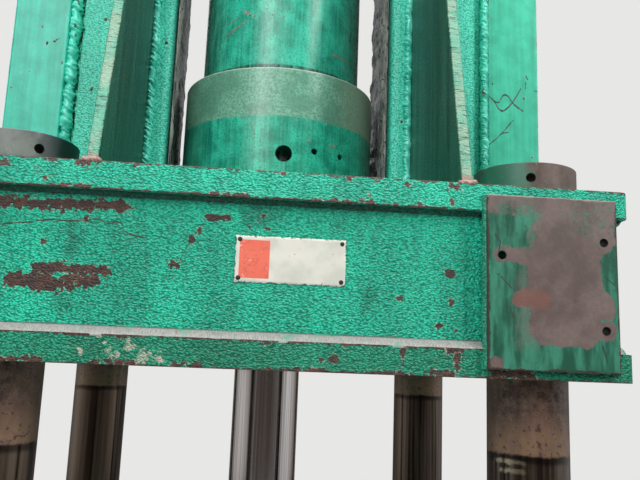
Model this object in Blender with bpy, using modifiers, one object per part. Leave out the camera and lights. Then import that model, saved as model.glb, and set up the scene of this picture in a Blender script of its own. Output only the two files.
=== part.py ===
"""Four-column hydraulic press: bed, columns, welded crosshead, cylinder and moving platen.

Metres, +Z up, the floor at zero, the operator's side at -Y. The origin is on the floor,
under the middle of the ram. The rest pose has the ram out by a good half of its stroke.
"""
import math

import bmesh
import bpy

for leftover in list(bpy.data.objects):
    bpy.data.objects.remove(leftover, do_unlink=True)

# Driving dimensions of the frame
column_diameter = 0.120
column_spacing_x = 0.776
column_spacing_y = 0.714
frame_daylight = 0.900
fit_gap = 0.0003
cut_overrun = 0.010

# Segments round the turned pieces, and the distance under which a turned seam closes
seam_merge = 0.00001
fine_steps = 40
column_steps = 24
small_steps = 8

column_radius = column_diameter / 2
column_corners = {
    "front_left": (-1, -1),
    "front_right": (1, -1),
    "rear_left": (-1, 1),
    "rear_right": (1, 1),
}

parts = bpy.data.collections.new("hydraulic_press")
cutters = bpy.data.collections.new("cutters")
bpy.context.scene.collection.children.link(parts)
bpy.context.scene.collection.children.link(cutters)


def column_place(corner):
    """Return a column's axis in plan."""
    side, depth = column_corners[corner]
    return side * column_spacing_x / 2, depth * column_spacing_y / 2


# Finishes: each piece gets a material of its own from one of these
green_enamel = ((0.10, 0.52, 0.37), 0.45, 0.0)
bare_primer = ((0.16, 0.10, 0.08), 0.65, 0.3)
polished_steel = ((0.33, 0.28, 0.25), 0.30, 0.9)
hard_chrome = ((0.75, 0.76, 0.78), 0.08, 1.0)
bright_steel = ((0.45, 0.45, 0.46), 0.35, 1.0)
bearing_bronze = ((0.55, 0.38, 0.16), 0.35, 1.0)
black_rubber = ((0.02, 0.02, 0.02), 0.70, 0.0)
cream_plate = ((0.60, 0.55, 0.45), 0.45, 0.2)


def give_finish(piece, finish):
    """Give a piece its own Principled material."""
    colour, roughness, metallic = finish
    material = bpy.data.materials.new(piece.name)
    material.use_nodes = True
    shader = material.node_tree.nodes["Principled BSDF"]
    shader.inputs["Base Color"].default_value = (*colour, 1.0)
    shader.inputs["Roughness"].default_value = roughness
    shader.inputs["Metallic"].default_value = metallic
    piece.data.materials.clear()
    piece.data.materials.append(material)


def place(mesh, name, location, finish, collection=parts):
    """Put a mesh in the scene as a named piece."""
    piece = bpy.data.objects.new(name, mesh)
    piece.location = location
    collection.objects.link(piece)
    if finish:
        give_finish(piece, finish)
    return piece


def block(name, low, high, finish, bevel=0.0, upright_edges_only=False):
    """Make a box between two corners, with bevelled edges if asked."""
    size = [top - bottom for bottom, top in zip(low, high)]
    middle = [(bottom + top) / 2 for bottom, top in zip(low, high)]
    shape = bmesh.new()
    bmesh.ops.create_cube(shape, size=1.0)
    bmesh.ops.scale(shape, vec=size, verts=shape.verts)
    if bevel and upright_edges_only:
        upright = [edge for edge in shape.edges
                   if edge.verts[0].co.xy == edge.verts[1].co.xy]
        bmesh.ops.bevel(shape, geom=upright, offset=bevel, segments=4, profile=0.5, affect="EDGES")
    mesh = bpy.data.meshes.new(name)
    shape.to_mesh(mesh)
    shape.free()
    piece = place(mesh, name, middle, finish)
    if bevel and not upright_edges_only:
        rounding = piece.modifiers.new("rounded_edges", "BEVEL")
        rounding.width = bevel
        rounding.segments = 2
    return piece


def turned(name, profile, location, finish, steps=fine_steps, closed=False):
    """Turn a profile of (radius, height) points about a vertical axis.

    An open profile starts and ends on the axis and runs down its outer side. A closed one is a ring.
    """
    points = [(radius, 0.0, height) for radius, height in profile]
    edges = [(index, index + 1) for index in range(len(points) - 1)]
    if closed:
        edges.append((len(points) - 1, 0))
    mesh = bpy.data.meshes.new(name)
    mesh.from_pydata(points, edges, [])
    piece = place(mesh, name, location, finish)
    turning = piece.modifiers.new("turned", "SCREW")
    turning.steps = steps
    turning.render_steps = steps
    turning.use_merge_vertices = True
    turning.merge_threshold = seam_merge
    turning.use_smooth_shade = False
    return piece


def ring_profile(inner, outer, bottom, top, chamfer=0.0):
    """Return a closed ring's section, chamfered on its two outer edges, in the Screw's order."""
    return [
        (inner, top),
        (outer - chamfer, top),
        (outer, top - chamfer),
        (outer, bottom + chamfer),
        (outer - chamfer, bottom),
        (inner, bottom),
    ] if chamfer else [(inner, top), (outer, top), (outer, bottom), (inner, bottom)]


def drill(name, radius, depth, centre, rotation=(0.0, 0.0, 0.0), steps=small_steps):
    """Make a cylinder cutter, centred on a point, along its own Z."""
    shape = bmesh.new()
    bmesh.ops.create_cone(shape, cap_ends=True, segments=steps, radius1=radius, radius2=radius, depth=depth)
    mesh = bpy.data.meshes.new(name)
    shape.to_mesh(mesh)
    shape.free()
    cutter = place(mesh, name, centre, None, cutters)
    cutter.rotation_euler = rotation
    cutter.hide_render = True
    cutter.display_type = "WIRE"
    return cutter


def cut(piece, cutter):
    """Cut one piece with one cutter."""
    boolean = piece.modifiers.new(cutter.name, "BOOLEAN")
    boolean.operation = "DIFFERENCE"
    boolean.solver = "EXACT"
    boolean.object = cutter


def fuse(piece, lump):
    """Join a lump, such as a screw's head, to the piece that carries it."""
    boolean = piece.modifiers.new(lump.name, "BOOLEAN")
    boolean.operation = "UNION"
    boolean.solver = "EXACT"
    boolean.object = lump


def bar(name, outlines, length, location, finish, rotation=(0.0, 0.0, 0.0)):
    """Extrude flat outlines along their own Z, centred on a point; inner outlines are hollows."""
    curve = bpy.data.curves.new(name, "CURVE")
    curve.dimensions = "2D"
    curve.fill_mode = "BOTH"
    curve.extrude = length / 2
    for outline in outlines:
        spline = curve.splines.new("POLY")
        spline.points.add(len(outline) - 1)
        for point, (across, up) in zip(spline.points, outline):
            point.co = (across, up, 0.0, 1.0)
        spline.use_cyclic_u = True
    piece = bpy.data.objects.new(name, curve)
    piece.location = location
    piece.rotation_euler = rotation
    parts.objects.link(piece)
    give_finish(piece, finish)
    return piece


def rectangle(width, depth):
    """Return the outline of a rectangle centred on zero."""
    return [(side * width / 2, front * depth / 2) for side, front in ((1, 1), (-1, 1), (-1, -1), (1, -1))]


def rounded_rectangle(width, depth, radius, arc_points=5):
    """Return the outline of a rectangle with round corners, centred on zero."""
    outline = []
    for quarter, (side, front) in enumerate(((1, 1), (-1, 1), (-1, -1), (1, -1))):
        for index in range(arc_points):
            angle = math.pi / 2 * (quarter + index / (arc_points - 1))
            outline.append((
                side * (width / 2 - radius) + radius * math.cos(angle),
                front * (depth / 2 - radius) + radius * math.sin(angle),
            ))
    return outline


# Bed: a welded box under the work, on four levelling feet
bed_margin_x = 0.142
bed_margin_y = 0.123
foot_radius = 0.070
foot_height = 0.045
foot_inset = 0.110
foot_flare = 0.012
bed_bottom_plate_thickness = 0.030
bed_web_height = 0.465
bed_web_thickness = 0.020
bed_web_inset = 0.020
bed_top_plate_thickness = 0.060
bed_edge_bevel = 0.003

bed_length = column_spacing_x + 2 * bed_margin_x
bed_depth = column_spacing_y + 2 * bed_margin_y
bed_bottom_plate_low = foot_height + fit_gap
bed_web_low = bed_bottom_plate_low + bed_bottom_plate_thickness + fit_gap
bed_top_plate_low = bed_web_low + bed_web_height + fit_gap
bed_top = bed_top_plate_low + bed_top_plate_thickness

for corner, (side, depth) in column_corners.items():
    turned(
        "levelling_foot_" + corner,
        [(0.0, foot_height), (foot_radius - foot_flare, foot_height), (foot_radius, foot_height - foot_flare),
         (foot_radius, 0.0), (0.0, 0.0)],
        (side * (bed_length / 2 - foot_inset), depth * (bed_depth / 2 - foot_inset), 0.0),
        bright_steel, column_steps,
    )

bed_bottom_plate = block(
    "bed_bottom_plate",
    (-bed_length / 2, -bed_depth / 2, bed_bottom_plate_low),
    (bed_length / 2, bed_depth / 2, bed_bottom_plate_low + bed_bottom_plate_thickness),
    green_enamel, bed_edge_bevel,
)
bed_top_plate = block(
    "bed_top_plate",
    (-bed_length / 2, -bed_depth / 2, bed_top_plate_low),
    (bed_length / 2, bed_depth / 2, bed_top),
    bright_steel, bed_edge_bevel,
)


def web_frame(name, length, depth, inset, thickness, low, high):
    """Stand a welded rectangle of webs between two plates."""
    outer_length = length - 2 * inset
    outer_depth = depth - 2 * inset
    return bar(
        name,
        [rectangle(outer_length, outer_depth),
         rectangle(outer_length - 2 * thickness, outer_depth - 2 * thickness)],
        high - low, (0.0, 0.0, (low + high) / 2), green_enamel,
    )


web_frame("bed_web_frame", bed_length, bed_depth, bed_web_inset, bed_web_thickness,
          bed_web_low, bed_web_low + bed_web_height)

# Crosshead: two thick plates with webs set back between them
crosshead_margin_x = 0.117
crosshead_margin_y = 0.103
crosshead_plate_thickness = 0.040
crosshead_web_height = 0.1944
crosshead_web_thickness = 0.018
crosshead_web_inset = 0.0144
crosshead_corner_radius = 0.012
column_tube_wall = 0.008

crosshead_length = column_spacing_x + 2 * crosshead_margin_x
crosshead_depth = column_spacing_y + 2 * crosshead_margin_y
crosshead_low = bed_top + frame_daylight
crosshead_web_low = crosshead_low + crosshead_plate_thickness + fit_gap
crosshead_top_plate_low = crosshead_web_low + crosshead_web_height + fit_gap
crosshead_top = crosshead_top_plate_low + crosshead_plate_thickness

crosshead_bottom_plate = block(
    "crosshead_bottom_plate",
    (-crosshead_length / 2, -crosshead_depth / 2, crosshead_low),
    (crosshead_length / 2, crosshead_depth / 2, crosshead_low + crosshead_plate_thickness),
    green_enamel, crosshead_corner_radius, upright_edges_only=True,
)
crosshead_top_plate = block(
    "crosshead_top_plate",
    (-crosshead_length / 2, -crosshead_depth / 2, crosshead_top_plate_low),
    (crosshead_length / 2, crosshead_depth / 2, crosshead_top),
    green_enamel, crosshead_corner_radius, upright_edges_only=True,
)
crosshead_web_high = crosshead_web_low + crosshead_web_height
web_outer_x = crosshead_length / 2 - crosshead_web_inset
web_outer_y = crosshead_depth / 2 - crosshead_web_inset
web_inner_x = web_outer_x - crosshead_web_thickness
web_inner_y = web_outer_y - crosshead_web_thickness
for name, side in (("left", -1), ("right", 1)):
    ends = sorted((side * (web_inner_x + fit_gap), side * web_outer_x))
    block("crosshead_" + name + "_web", (ends[0], -web_inner_y + fit_gap, crosshead_web_low),
          (ends[1], web_inner_y - fit_gap, crosshead_web_high), green_enamel)
for name, front in (("front", -1), ("rear", 1)):
    ends = sorted((front * web_inner_y, front * web_outer_y))
    block("crosshead_" + name + "_web", (-web_outer_x, ends[0], crosshead_web_low),
          (web_outer_x, ends[1], crosshead_web_high), green_enamel)

for corner in column_corners:
    across, deep = column_place(corner)
    turned(
        "column_tube_" + corner,
        ring_profile(column_radius + fit_gap, column_radius + column_tube_wall, crosshead_web_low,
                     crosshead_web_high),
        (across, deep, 0.0), green_enamel, column_steps, closed=True,
    )

# Columns: each has a ring nut with a tommy-bar hole on top. Its shoulder sits in a counterbore of the
# bed's top plate, and a nut pulls it down from below
ring_nut_radius = 0.0786
ring_nut_height = 0.045
ring_nut_chamfer = 0.0012
tommy_hole_radius = 0.0072
tommy_hole_rise = 0.021
tommy_hole_turns = {
    "front_left": math.radians(32.6),
    "front_right": math.radians(-14.5),
    "rear_left": math.radians(147.4),
    "rear_right": math.radians(194.5),
}
column_top_recess = 0.004
column_end_chamfer = 0.004
shoulder_height = 0.045
shoulder_recess = 0.005
lower_nut_height = 0.060
column_end_reach = 0.012

lower_nut_top = bed_top_plate_low - fit_gap
column_bottom = lower_nut_top - lower_nut_height - column_end_reach
column_top = crosshead_top + fit_gap + ring_nut_height - column_top_recess
shoulder_low = bed_top - shoulder_recess + fit_gap
shoulder_top = shoulder_low + shoulder_height

for corner in column_corners:
    across, deep = column_place(corner)
    turned(
        "column_" + corner,
        [
            (0.0, column_top),
            (column_radius - column_end_chamfer, column_top),
            (column_radius, column_top - column_end_chamfer),
            (column_radius, shoulder_top),
            (ring_nut_radius, shoulder_top),
            (ring_nut_radius, shoulder_low),
            (column_radius, shoulder_low),
            (column_radius, lower_nut_top),
            (ring_nut_radius, lower_nut_top),
            (ring_nut_radius, lower_nut_top - lower_nut_height),
            (column_radius, lower_nut_top - lower_nut_height),
            (column_radius, column_bottom),
            (0.0, column_bottom),
        ],
        (across, deep, 0.0), polished_steel, column_steps,
    )
    ring_nut = turned(
        "ring_nut_" + corner,
        ring_profile(column_radius + fit_gap, ring_nut_radius, crosshead_top + fit_gap,
                     crosshead_top + fit_gap + ring_nut_height, ring_nut_chamfer),
        (across, deep, 0.0), bare_primer, column_steps, closed=True,
    )
    turn = tommy_hole_turns[corner]
    tommy_hole = drill(
        "tommy_hole_" + corner, tommy_hole_radius, ring_nut_radius,
        (across + ring_nut_radius * math.sin(turn), deep - ring_nut_radius * math.cos(turn),
         crosshead_top + fit_gap + tommy_hole_rise),
        (math.pi / 2, 0.0, turn),
    )
    cut(ring_nut, tommy_hole)
    for plate, plate_low, plate_thickness in (
        (bed_top_plate, bed_top_plate_low, bed_top_plate_thickness),
        (crosshead_bottom_plate, crosshead_low, crosshead_plate_thickness),
        (crosshead_top_plate, crosshead_top_plate_low, crosshead_plate_thickness),
    ):
        cut(plate, drill(
            plate.name + "_hole_" + corner, column_radius + fit_gap, plate_thickness + 2 * cut_overrun,
            (across, deep, plate_low + plate_thickness / 2), steps=column_steps,
        ))
    cut(bed_top_plate, drill(
        "shoulder_recess_" + corner, ring_nut_radius + fit_gap, 2 * shoulder_recess,
        (across, deep, bed_top), steps=column_steps,
    ))

# Corner pad: a bare machined plate on the front right corner, with three tapped holes
pad_width = 0.190
pad_height = 0.245
pad_thickness = 0.0117
pad_end_margin = 0.0265
pad_foot_margin = 0.0125
pad_bevel = 0.0015
pad_hole_radius = 0.006
pad_hole_places = {
    "left": (0.021, 0.158),
    "upper_right": (0.170, 0.183),
    "lower_right": (0.170, 0.058),
}

pad_back = -crosshead_depth / 2 - fit_gap
pad_front = pad_back - pad_thickness
pad_right = crosshead_length / 2 - pad_end_margin
pad_left = pad_right - pad_width
pad_low = crosshead_low + pad_foot_margin
corner_pad = block(
    "corner_pad", (pad_left, pad_front, pad_low), (pad_right, pad_back, pad_low + pad_height),
    bare_primer, pad_bevel,
)
for place_name, (from_left, from_low) in pad_hole_places.items():
    cut(corner_pad, drill(
        "pad_hole_" + place_name, pad_hole_radius, pad_thickness + 2 * cut_overrun,
        (pad_left + from_left, (pad_front + pad_back) / 2, pad_low + from_low), (math.pi / 2, 0.0, 0.0),
    ))

# Nameplate: a thin plate with a rivet near each corner
nameplate_width = 0.155
nameplate_height = 0.066
nameplate_thickness = 0.0015
nameplate_centre_x = 0.0155
nameplate_rise = 0.151
rivet_radius = 0.0025
rivet_head_height = 0.0016
rivet_inset = 0.006

web_front = -(crosshead_depth / 2 - crosshead_web_inset)
nameplate_back = web_front - fit_gap
nameplate_front = nameplate_back - nameplate_thickness
nameplate_middle = crosshead_low + nameplate_rise
nameplate = block(
    "nameplate",
    (nameplate_centre_x - nameplate_width / 2, nameplate_front, nameplate_middle - nameplate_height / 2),
    (nameplate_centre_x + nameplate_width / 2, nameplate_back, nameplate_middle + nameplate_height / 2),
    cream_plate,
)
for across_sign in (-1, 1):
    for up_sign in (-1, 1):
        fuse(nameplate, drill(
            "rivet_" + str(across_sign) + str(up_sign), rivet_radius, rivet_head_height + nameplate_thickness,
            (nameplate_centre_x + across_sign * (nameplate_width / 2 - rivet_inset),
             nameplate_front + (nameplate_thickness - rivet_head_height) / 2 - fit_gap,
             nameplate_middle + up_sign * (nameplate_height / 2 - rivet_inset)),
            (math.pi / 2, 0.0, 0.0),
        ))

# Cylinder: barrel with a foot flange under the crosshead's centre tube, and a collar above it
cylinder_bore = 0.250
barrel_wall = 0.036
foot_flange_reach = 0.031
foot_flange_height = 0.038
collar_wall = 0.031
collar_height = 0.270
collar_chamfer = 0.002
port_radius = 0.015
port_rise = 0.1067
port_turn = math.radians(2.0)
oil_way_radius = 0.006
tapped_hole_radius = 0.006
tapped_hole_rise = 0.117
tapped_hole_turns = (math.radians(19.0), math.radians(36.0))
tapped_hole_depth = 0.022
cap_thickness = 0.070
cap_spigot = 0.015
cap_chamfer = 0.004
cap_port_radius = 0.022
cap_screw_count = 8
cap_screw_head_radius = 0.015
cap_screw_head_height = 0.020

# Piston stroke: how far the ram still goes out, and how far it goes back, from the rest pose
travel_out = 0.200
travel_back = 0.300
end_clearance = 0.006
piston_height = 0.120
piston_clearance = 0.0015
piston_nut_height = 0.040
port_land = 0.002
centre_tube_wall = 0.030

bore_radius = cylinder_bore / 2
barrel_radius = bore_radius + barrel_wall
foot_flange_radius = barrel_radius + foot_flange_reach
collar_radius = barrel_radius + collar_wall
cap_screw_circle = (bore_radius + barrel_radius) / 2
port_height = crosshead_top + port_rise
gland_top = port_height - port_radius - port_land
piston_low = gland_top + end_clearance + travel_out
piston_top = piston_low + piston_height
barrel_top = piston_top + piston_nut_height + travel_back + end_clearance + cap_spigot

barrel = turned(
    "cylinder_barrel",
    [
        (bore_radius, barrel_top),
        (barrel_radius, barrel_top),
        (barrel_radius, crosshead_low + foot_flange_height),
        (foot_flange_radius, crosshead_low + foot_flange_height),
        (foot_flange_radius, crosshead_low),
        (bore_radius, crosshead_low),
    ],
    (0.0, 0.0, 0.0), green_enamel, closed=True,
)
collar = turned(
    "cylinder_collar",
    ring_profile(barrel_radius + fit_gap, collar_radius, crosshead_top + fit_gap,
                 crosshead_top + fit_gap + collar_height, collar_chamfer),
    (0.0, 0.0, 0.0), green_enamel, closed=True,
)
turned(
    "crosshead_centre_tube",
    ring_profile(barrel_radius + fit_gap, barrel_radius + centre_tube_wall, crosshead_web_low,
                 crosshead_web_low + crosshead_web_height),
    (0.0, 0.0, 0.0), green_enamel, closed=True,
)
cut(crosshead_bottom_plate, drill(
    "foot_flange_hole", foot_flange_radius + fit_gap, crosshead_plate_thickness + 2 * cut_overrun,
    (0.0, 0.0, crosshead_low + crosshead_plate_thickness / 2), steps=fine_steps,
))
cut(crosshead_top_plate, drill(
    "barrel_hole", barrel_radius + fit_gap, crosshead_plate_thickness + 2 * cut_overrun,
    (0.0, 0.0, crosshead_top_plate_low + crosshead_plate_thickness / 2), steps=fine_steps,
))


def radial_drill(name, radius, turn, from_radius, to_radius, height):
    """Make a cutter that lies along a radius, turned from the front towards +X."""
    middle = (from_radius + to_radius) / 2
    return drill(
        name, radius, to_radius - from_radius,
        (middle * math.sin(turn), -middle * math.cos(turn), height), (math.pi / 2, 0.0, turn), column_steps,
    )


cut(collar, radial_drill(
    "oil_port", port_radius, port_turn, barrel_radius - cut_overrun, collar_radius + cut_overrun, port_height,
))
cut(barrel, radial_drill(
    "oil_way", oil_way_radius, port_turn, bore_radius - cut_overrun, barrel_radius + cut_overrun, port_height,
))
for index, turn in enumerate(tapped_hole_turns):
    cut(collar, radial_drill(
        "collar_hole_" + str(index), tapped_hole_radius, turn, collar_radius - tapped_hole_depth,
        collar_radius + cut_overrun, crosshead_top + tapped_hole_rise,
    ))

end_cap_low = barrel_top + fit_gap
end_cap_top = end_cap_low + cap_thickness
end_cap = turned(
    "cylinder_end_cap",
    [
        (cap_port_radius, end_cap_top),
        (barrel_radius - cap_chamfer, end_cap_top),
        (barrel_radius, end_cap_top - cap_chamfer),
        (barrel_radius, end_cap_low),
        (bore_radius - fit_gap, end_cap_low),
        (bore_radius - fit_gap, end_cap_low - cap_spigot),
        (cap_port_radius, end_cap_low - cap_spigot),
    ],
    (0.0, 0.0, 0.0), green_enamel, closed=True,
)


def screw_heads(carrier, count, circle, radius, height, seat):
    """Set a circle of cap screw heads on the piece they hold down, as part of it."""
    for index in range(count):
        turn = 2 * math.pi * (index + 0.5) / count
        fuse(carrier, drill(
            carrier.name + "_screw_" + str(index), radius, 2 * height,
            (circle * math.sin(turn), circle * math.cos(turn), seat),
        ))


screw_heads(end_cap, cap_screw_count, cap_screw_circle, cap_screw_head_radius, cap_screw_head_height, end_cap_top)

# Gland: a long bronze bush in the barrel's foot, with a seal, and a ring with a wiper under it
ram_diameter = 0.126
gland_ring_height = 0.030
gland_ring_bore_gap = 0.006
wiper_height = 0.012
rod_seal_height = 0.018
rod_seal_section = 0.010
rod_seal_drop = 0.030

ram_radius = ram_diameter / 2
gland_ring_top = crosshead_low + gland_ring_height
gland_low = gland_ring_top + fit_gap
seal_top = gland_top - rod_seal_drop
seal_low = seal_top - rod_seal_height
turned(
    "gland_bush",
    [
        (ram_radius + fit_gap, gland_top),
        (bore_radius - fit_gap, gland_top),
        (bore_radius - fit_gap, gland_low),
        (ram_radius + fit_gap, gland_low),
        (ram_radius + fit_gap, seal_low - fit_gap),
        (ram_radius + rod_seal_section + fit_gap, seal_low - fit_gap),
        (ram_radius + rod_seal_section + fit_gap, seal_top + fit_gap),
        (ram_radius + fit_gap, seal_top + fit_gap),
    ],
    (0.0, 0.0, 0.0), bearing_bronze, closed=True,
)
turned(
    "rod_seal",
    ring_profile(ram_radius + fit_gap, ram_radius + rod_seal_section, seal_low, seal_top),
    (0.0, 0.0, 0.0), black_rubber, closed=True,
)
turned(
    "gland_ring",
    [
        (ram_radius + fit_gap, gland_ring_top),
        (bore_radius - fit_gap, gland_ring_top),
        (bore_radius - fit_gap, crosshead_low),
        (ram_radius + gland_ring_bore_gap + fit_gap, crosshead_low),
        (ram_radius + gland_ring_bore_gap + fit_gap, crosshead_low + wiper_height + fit_gap),
        (ram_radius + fit_gap, crosshead_low + wiper_height + fit_gap),
    ],
    (0.0, 0.0, 0.0), bright_steel, closed=True,
)
turned(
    "wiper_ring",
    ring_profile(ram_radius + fit_gap, ram_radius + gland_ring_bore_gap, crosshead_low,
                 crosshead_low + wiper_height),
    (0.0, 0.0, 0.0), black_rubber, closed=True,
)

# Moving platen: a welded box on the ram, guided on the columns by flanged bronze bushes
platen_margin_x = 0.117
platen_margin_y = 0.103
platen_upper_plate_thickness = 0.030
platen_web_height = 0.090
platen_lower_plate_thickness = 0.040
platen_web_thickness = 0.016
platen_web_inset = 0.004
platen_corner_radius = 0.010
platen_drop = 0.455
hub_radius = 0.130
hub_wall = 0.025
bush_radius = 0.078
bush_flange_radius = 0.098
bush_flange_height = 0.018
bush_rise = 0.050

platen_length = column_spacing_x + 2 * platen_margin_x
platen_depth = column_spacing_y + 2 * platen_margin_y
platen_top = crosshead_low - platen_drop
platen_upper_plate_low = platen_top - platen_upper_plate_thickness
platen_web_high = platen_upper_plate_low - fit_gap
platen_web_low = platen_web_high - platen_web_height
platen_lower_plate_high = platen_web_low - fit_gap
platen_low = platen_lower_plate_high - platen_lower_plate_thickness

platen_upper_plate = block(
    "platen_upper_plate",
    (-platen_length / 2, -platen_depth / 2, platen_upper_plate_low),
    (platen_length / 2, platen_depth / 2, platen_top),
    green_enamel, platen_corner_radius, upright_edges_only=True,
)
platen_lower_plate = block(
    "platen_lower_plate",
    (-platen_length / 2, -platen_depth / 2, platen_low),
    (platen_length / 2, platen_depth / 2, platen_lower_plate_high),
    bright_steel, platen_corner_radius, upright_edges_only=True,
)
web_frame("platen_web_frame", platen_length, platen_depth, platen_web_inset, platen_web_thickness,
          platen_web_low, platen_web_high)
turned(
    "platen_hub",
    ring_profile(hub_radius - hub_wall, hub_radius, platen_web_low, platen_web_high),
    (0.0, 0.0, 0.0), green_enamel, column_steps, closed=True,
)
for corner in column_corners:
    across, deep = column_place(corner)
    turned(
        "guide_bush_" + corner,
        [
            (column_radius + fit_gap, platen_top + bush_rise),
            (bush_radius, platen_top + bush_rise),
            (bush_radius, platen_top + fit_gap + bush_flange_height),
            (bush_flange_radius, platen_top + fit_gap + bush_flange_height),
            (bush_flange_radius, platen_top + fit_gap),
            (bush_radius, platen_top + fit_gap),
            (bush_radius, platen_low),
            (column_radius + fit_gap, platen_low),
        ],
        (across, deep, 0.0), bearing_bronze, column_steps, closed=True,
    )
    for plate, plate_low, plate_thickness in (
        (platen_upper_plate, platen_upper_plate_low, platen_upper_plate_thickness),
        (platen_lower_plate, platen_low, platen_lower_plate_thickness),
    ):
        cut(plate, drill(
            plate.name + "_hole_" + corner, bush_radius + fit_gap, plate_thickness + 2 * cut_overrun,
            (across, deep, plate_low + plate_thickness / 2), steps=column_steps,
        ))

# Ram and piston: the chromed ram carries the piston on a spigot, held by a nut
spigot_radius = 0.040
piston_nut_radius = 0.065
piston_ring_height = 0.012
piston_ring_depth = 0.010
piston_ring_height_shares = {"lower": 0.25, "upper": 0.70}
ram_flange_radius = 0.118
ram_flange_height = 0.045
ram_flange_chamfer = 0.003
flange_screw_count = 8
flange_screw_circle = 0.092
flange_screw_head_radius = 0.012
flange_screw_head_height = 0.016

ram_low = platen_top + fit_gap
piston_nut_top = piston_top + fit_gap + piston_nut_height
spigot_top = piston_nut_top
piston_radius = bore_radius - piston_clearance
turned(
    "ram",
    [
        (0.0, spigot_top),
        (spigot_radius, spigot_top),
        (spigot_radius, piston_low - fit_gap),
        (ram_radius, piston_low - fit_gap),
        (ram_radius, ram_low),
        (0.0, ram_low),
    ],
    (0.0, 0.0, 0.0), hard_chrome,
)
grooves = []
for ring_name, share in piston_ring_height_shares.items():
    ring_low = piston_low + share * piston_height
    ring_high = ring_low + piston_ring_height
    grooves += [
        (piston_radius, ring_low - fit_gap),
        (piston_radius - piston_ring_depth, ring_low - fit_gap),
        (piston_radius - piston_ring_depth, ring_high + fit_gap),
        (piston_radius, ring_high + fit_gap),
    ]
    turned(
        "piston_ring_" + ring_name,
        ring_profile(piston_radius - piston_ring_depth + fit_gap, bore_radius - fit_gap, ring_low, ring_high),
        (0.0, 0.0, 0.0), black_rubber, closed=True,
    )
turned(
    "piston",
    [(spigot_radius + fit_gap, piston_top), (piston_radius, piston_top)]
    + grooves[::-1]
    + [(piston_radius, piston_low), (spigot_radius + fit_gap, piston_low)],
    (0.0, 0.0, 0.0), bright_steel, closed=True,
)
turned(
    "piston_nut",
    ring_profile(spigot_radius + fit_gap, piston_nut_radius, piston_top + fit_gap, piston_nut_top),
    (0.0, 0.0, 0.0), bright_steel, closed=True,
)
ram_flange = turned(
    "ram_flange",
    ring_profile(ram_radius + fit_gap, ram_flange_radius, ram_low, ram_low + ram_flange_height,
                 ram_flange_chamfer),
    (0.0, 0.0, 0.0), bright_steel, closed=True,
)
screw_heads(ram_flange, flange_screw_count, flange_screw_circle, flange_screw_head_radius,
            flange_screw_head_height, ram_low + ram_flange_height)

# Uprights: beside the cylinder, a rounded box, a flat-sided slab outboard, and sloping gussets
upright_head_room = 0.058
box_width = 0.200
box_wall = 0.010
box_corner_radius = 0.024
box_clearance = 0.019
slab_width = 0.1035
slab_depth = 0.230
slab_wall = 0.012
slab_corner_radius = 0.003
gusset_thickness = 0.016
gusset_offset = 0.053
gusset_slope = 0.27
toe_setback = 0.0005
tie_plate_thickness = 0.030
tie_plate_overhang = 0.012

upright_low = crosshead_top + fit_gap
upright_high = end_cap_top + cap_screw_head_height + upright_head_room
upright_height = upright_high - upright_low
box_inner = collar_radius + box_clearance
slab_inner = box_inner + box_width + fit_gap
slab_outer = slab_inner + slab_width
gusset_toe = crosshead_depth / 2 - toe_setback
gusset_heel = box_width / 2 + fit_gap
gusset_head = gusset_toe - gusset_slope * upright_height

for name, side in (("left", -1), ("right", 1)):
    middle_height = (upright_low + upright_high) / 2
    bar(
        "upright_box_" + name,
        [rounded_rectangle(box_width, box_width, box_corner_radius),
         rounded_rectangle(box_width - 2 * box_wall, box_width - 2 * box_wall, box_corner_radius - box_wall)],
        upright_height, (side * (box_inner + box_width / 2), 0.0, middle_height), green_enamel,
    )
    bar(
        "upright_slab_" + name,
        [rounded_rectangle(slab_width, slab_depth, slab_corner_radius, 2),
         rounded_rectangle(slab_width - 2 * slab_wall, slab_depth - 2 * slab_wall, slab_corner_radius, 2)],
        upright_height, (side * (slab_inner + slab_width / 2), 0.0, middle_height), green_enamel,
    )
    for end, front in (("front", -1), ("rear", 1)):
        bar(
            "gusset_" + end + "_" + name,
            [[(front * gusset_heel, 0.0), (front * gusset_toe, 0.0), (front * gusset_head, upright_height),
              (front * gusset_heel, upright_height)]],
            gusset_thickness, (side * (box_inner + gusset_offset), 0.0, upright_low), green_enamel,
            (math.pi / 2, 0.0, math.pi / 2),
        )

tie_plate_low = upright_high + fit_gap
block(
    "top_tie_plate",
    (-slab_outer - tie_plate_overhang, -gusset_head - tie_plate_overhang, tie_plate_low),
    (slab_outer + tie_plate_overhang, gusset_head + tie_plate_overhang, tie_plate_low + tie_plate_thickness),
    green_enamel, crosshead_corner_radius, upright_edges_only=True,
)
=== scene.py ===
"""Looks of a four-column hydraulic press: its castings and plates, welds, enamel, wear, light and camera.

Metres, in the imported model's own frame: the floor at zero, the operator's side at -Y.
"""
import math

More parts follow.
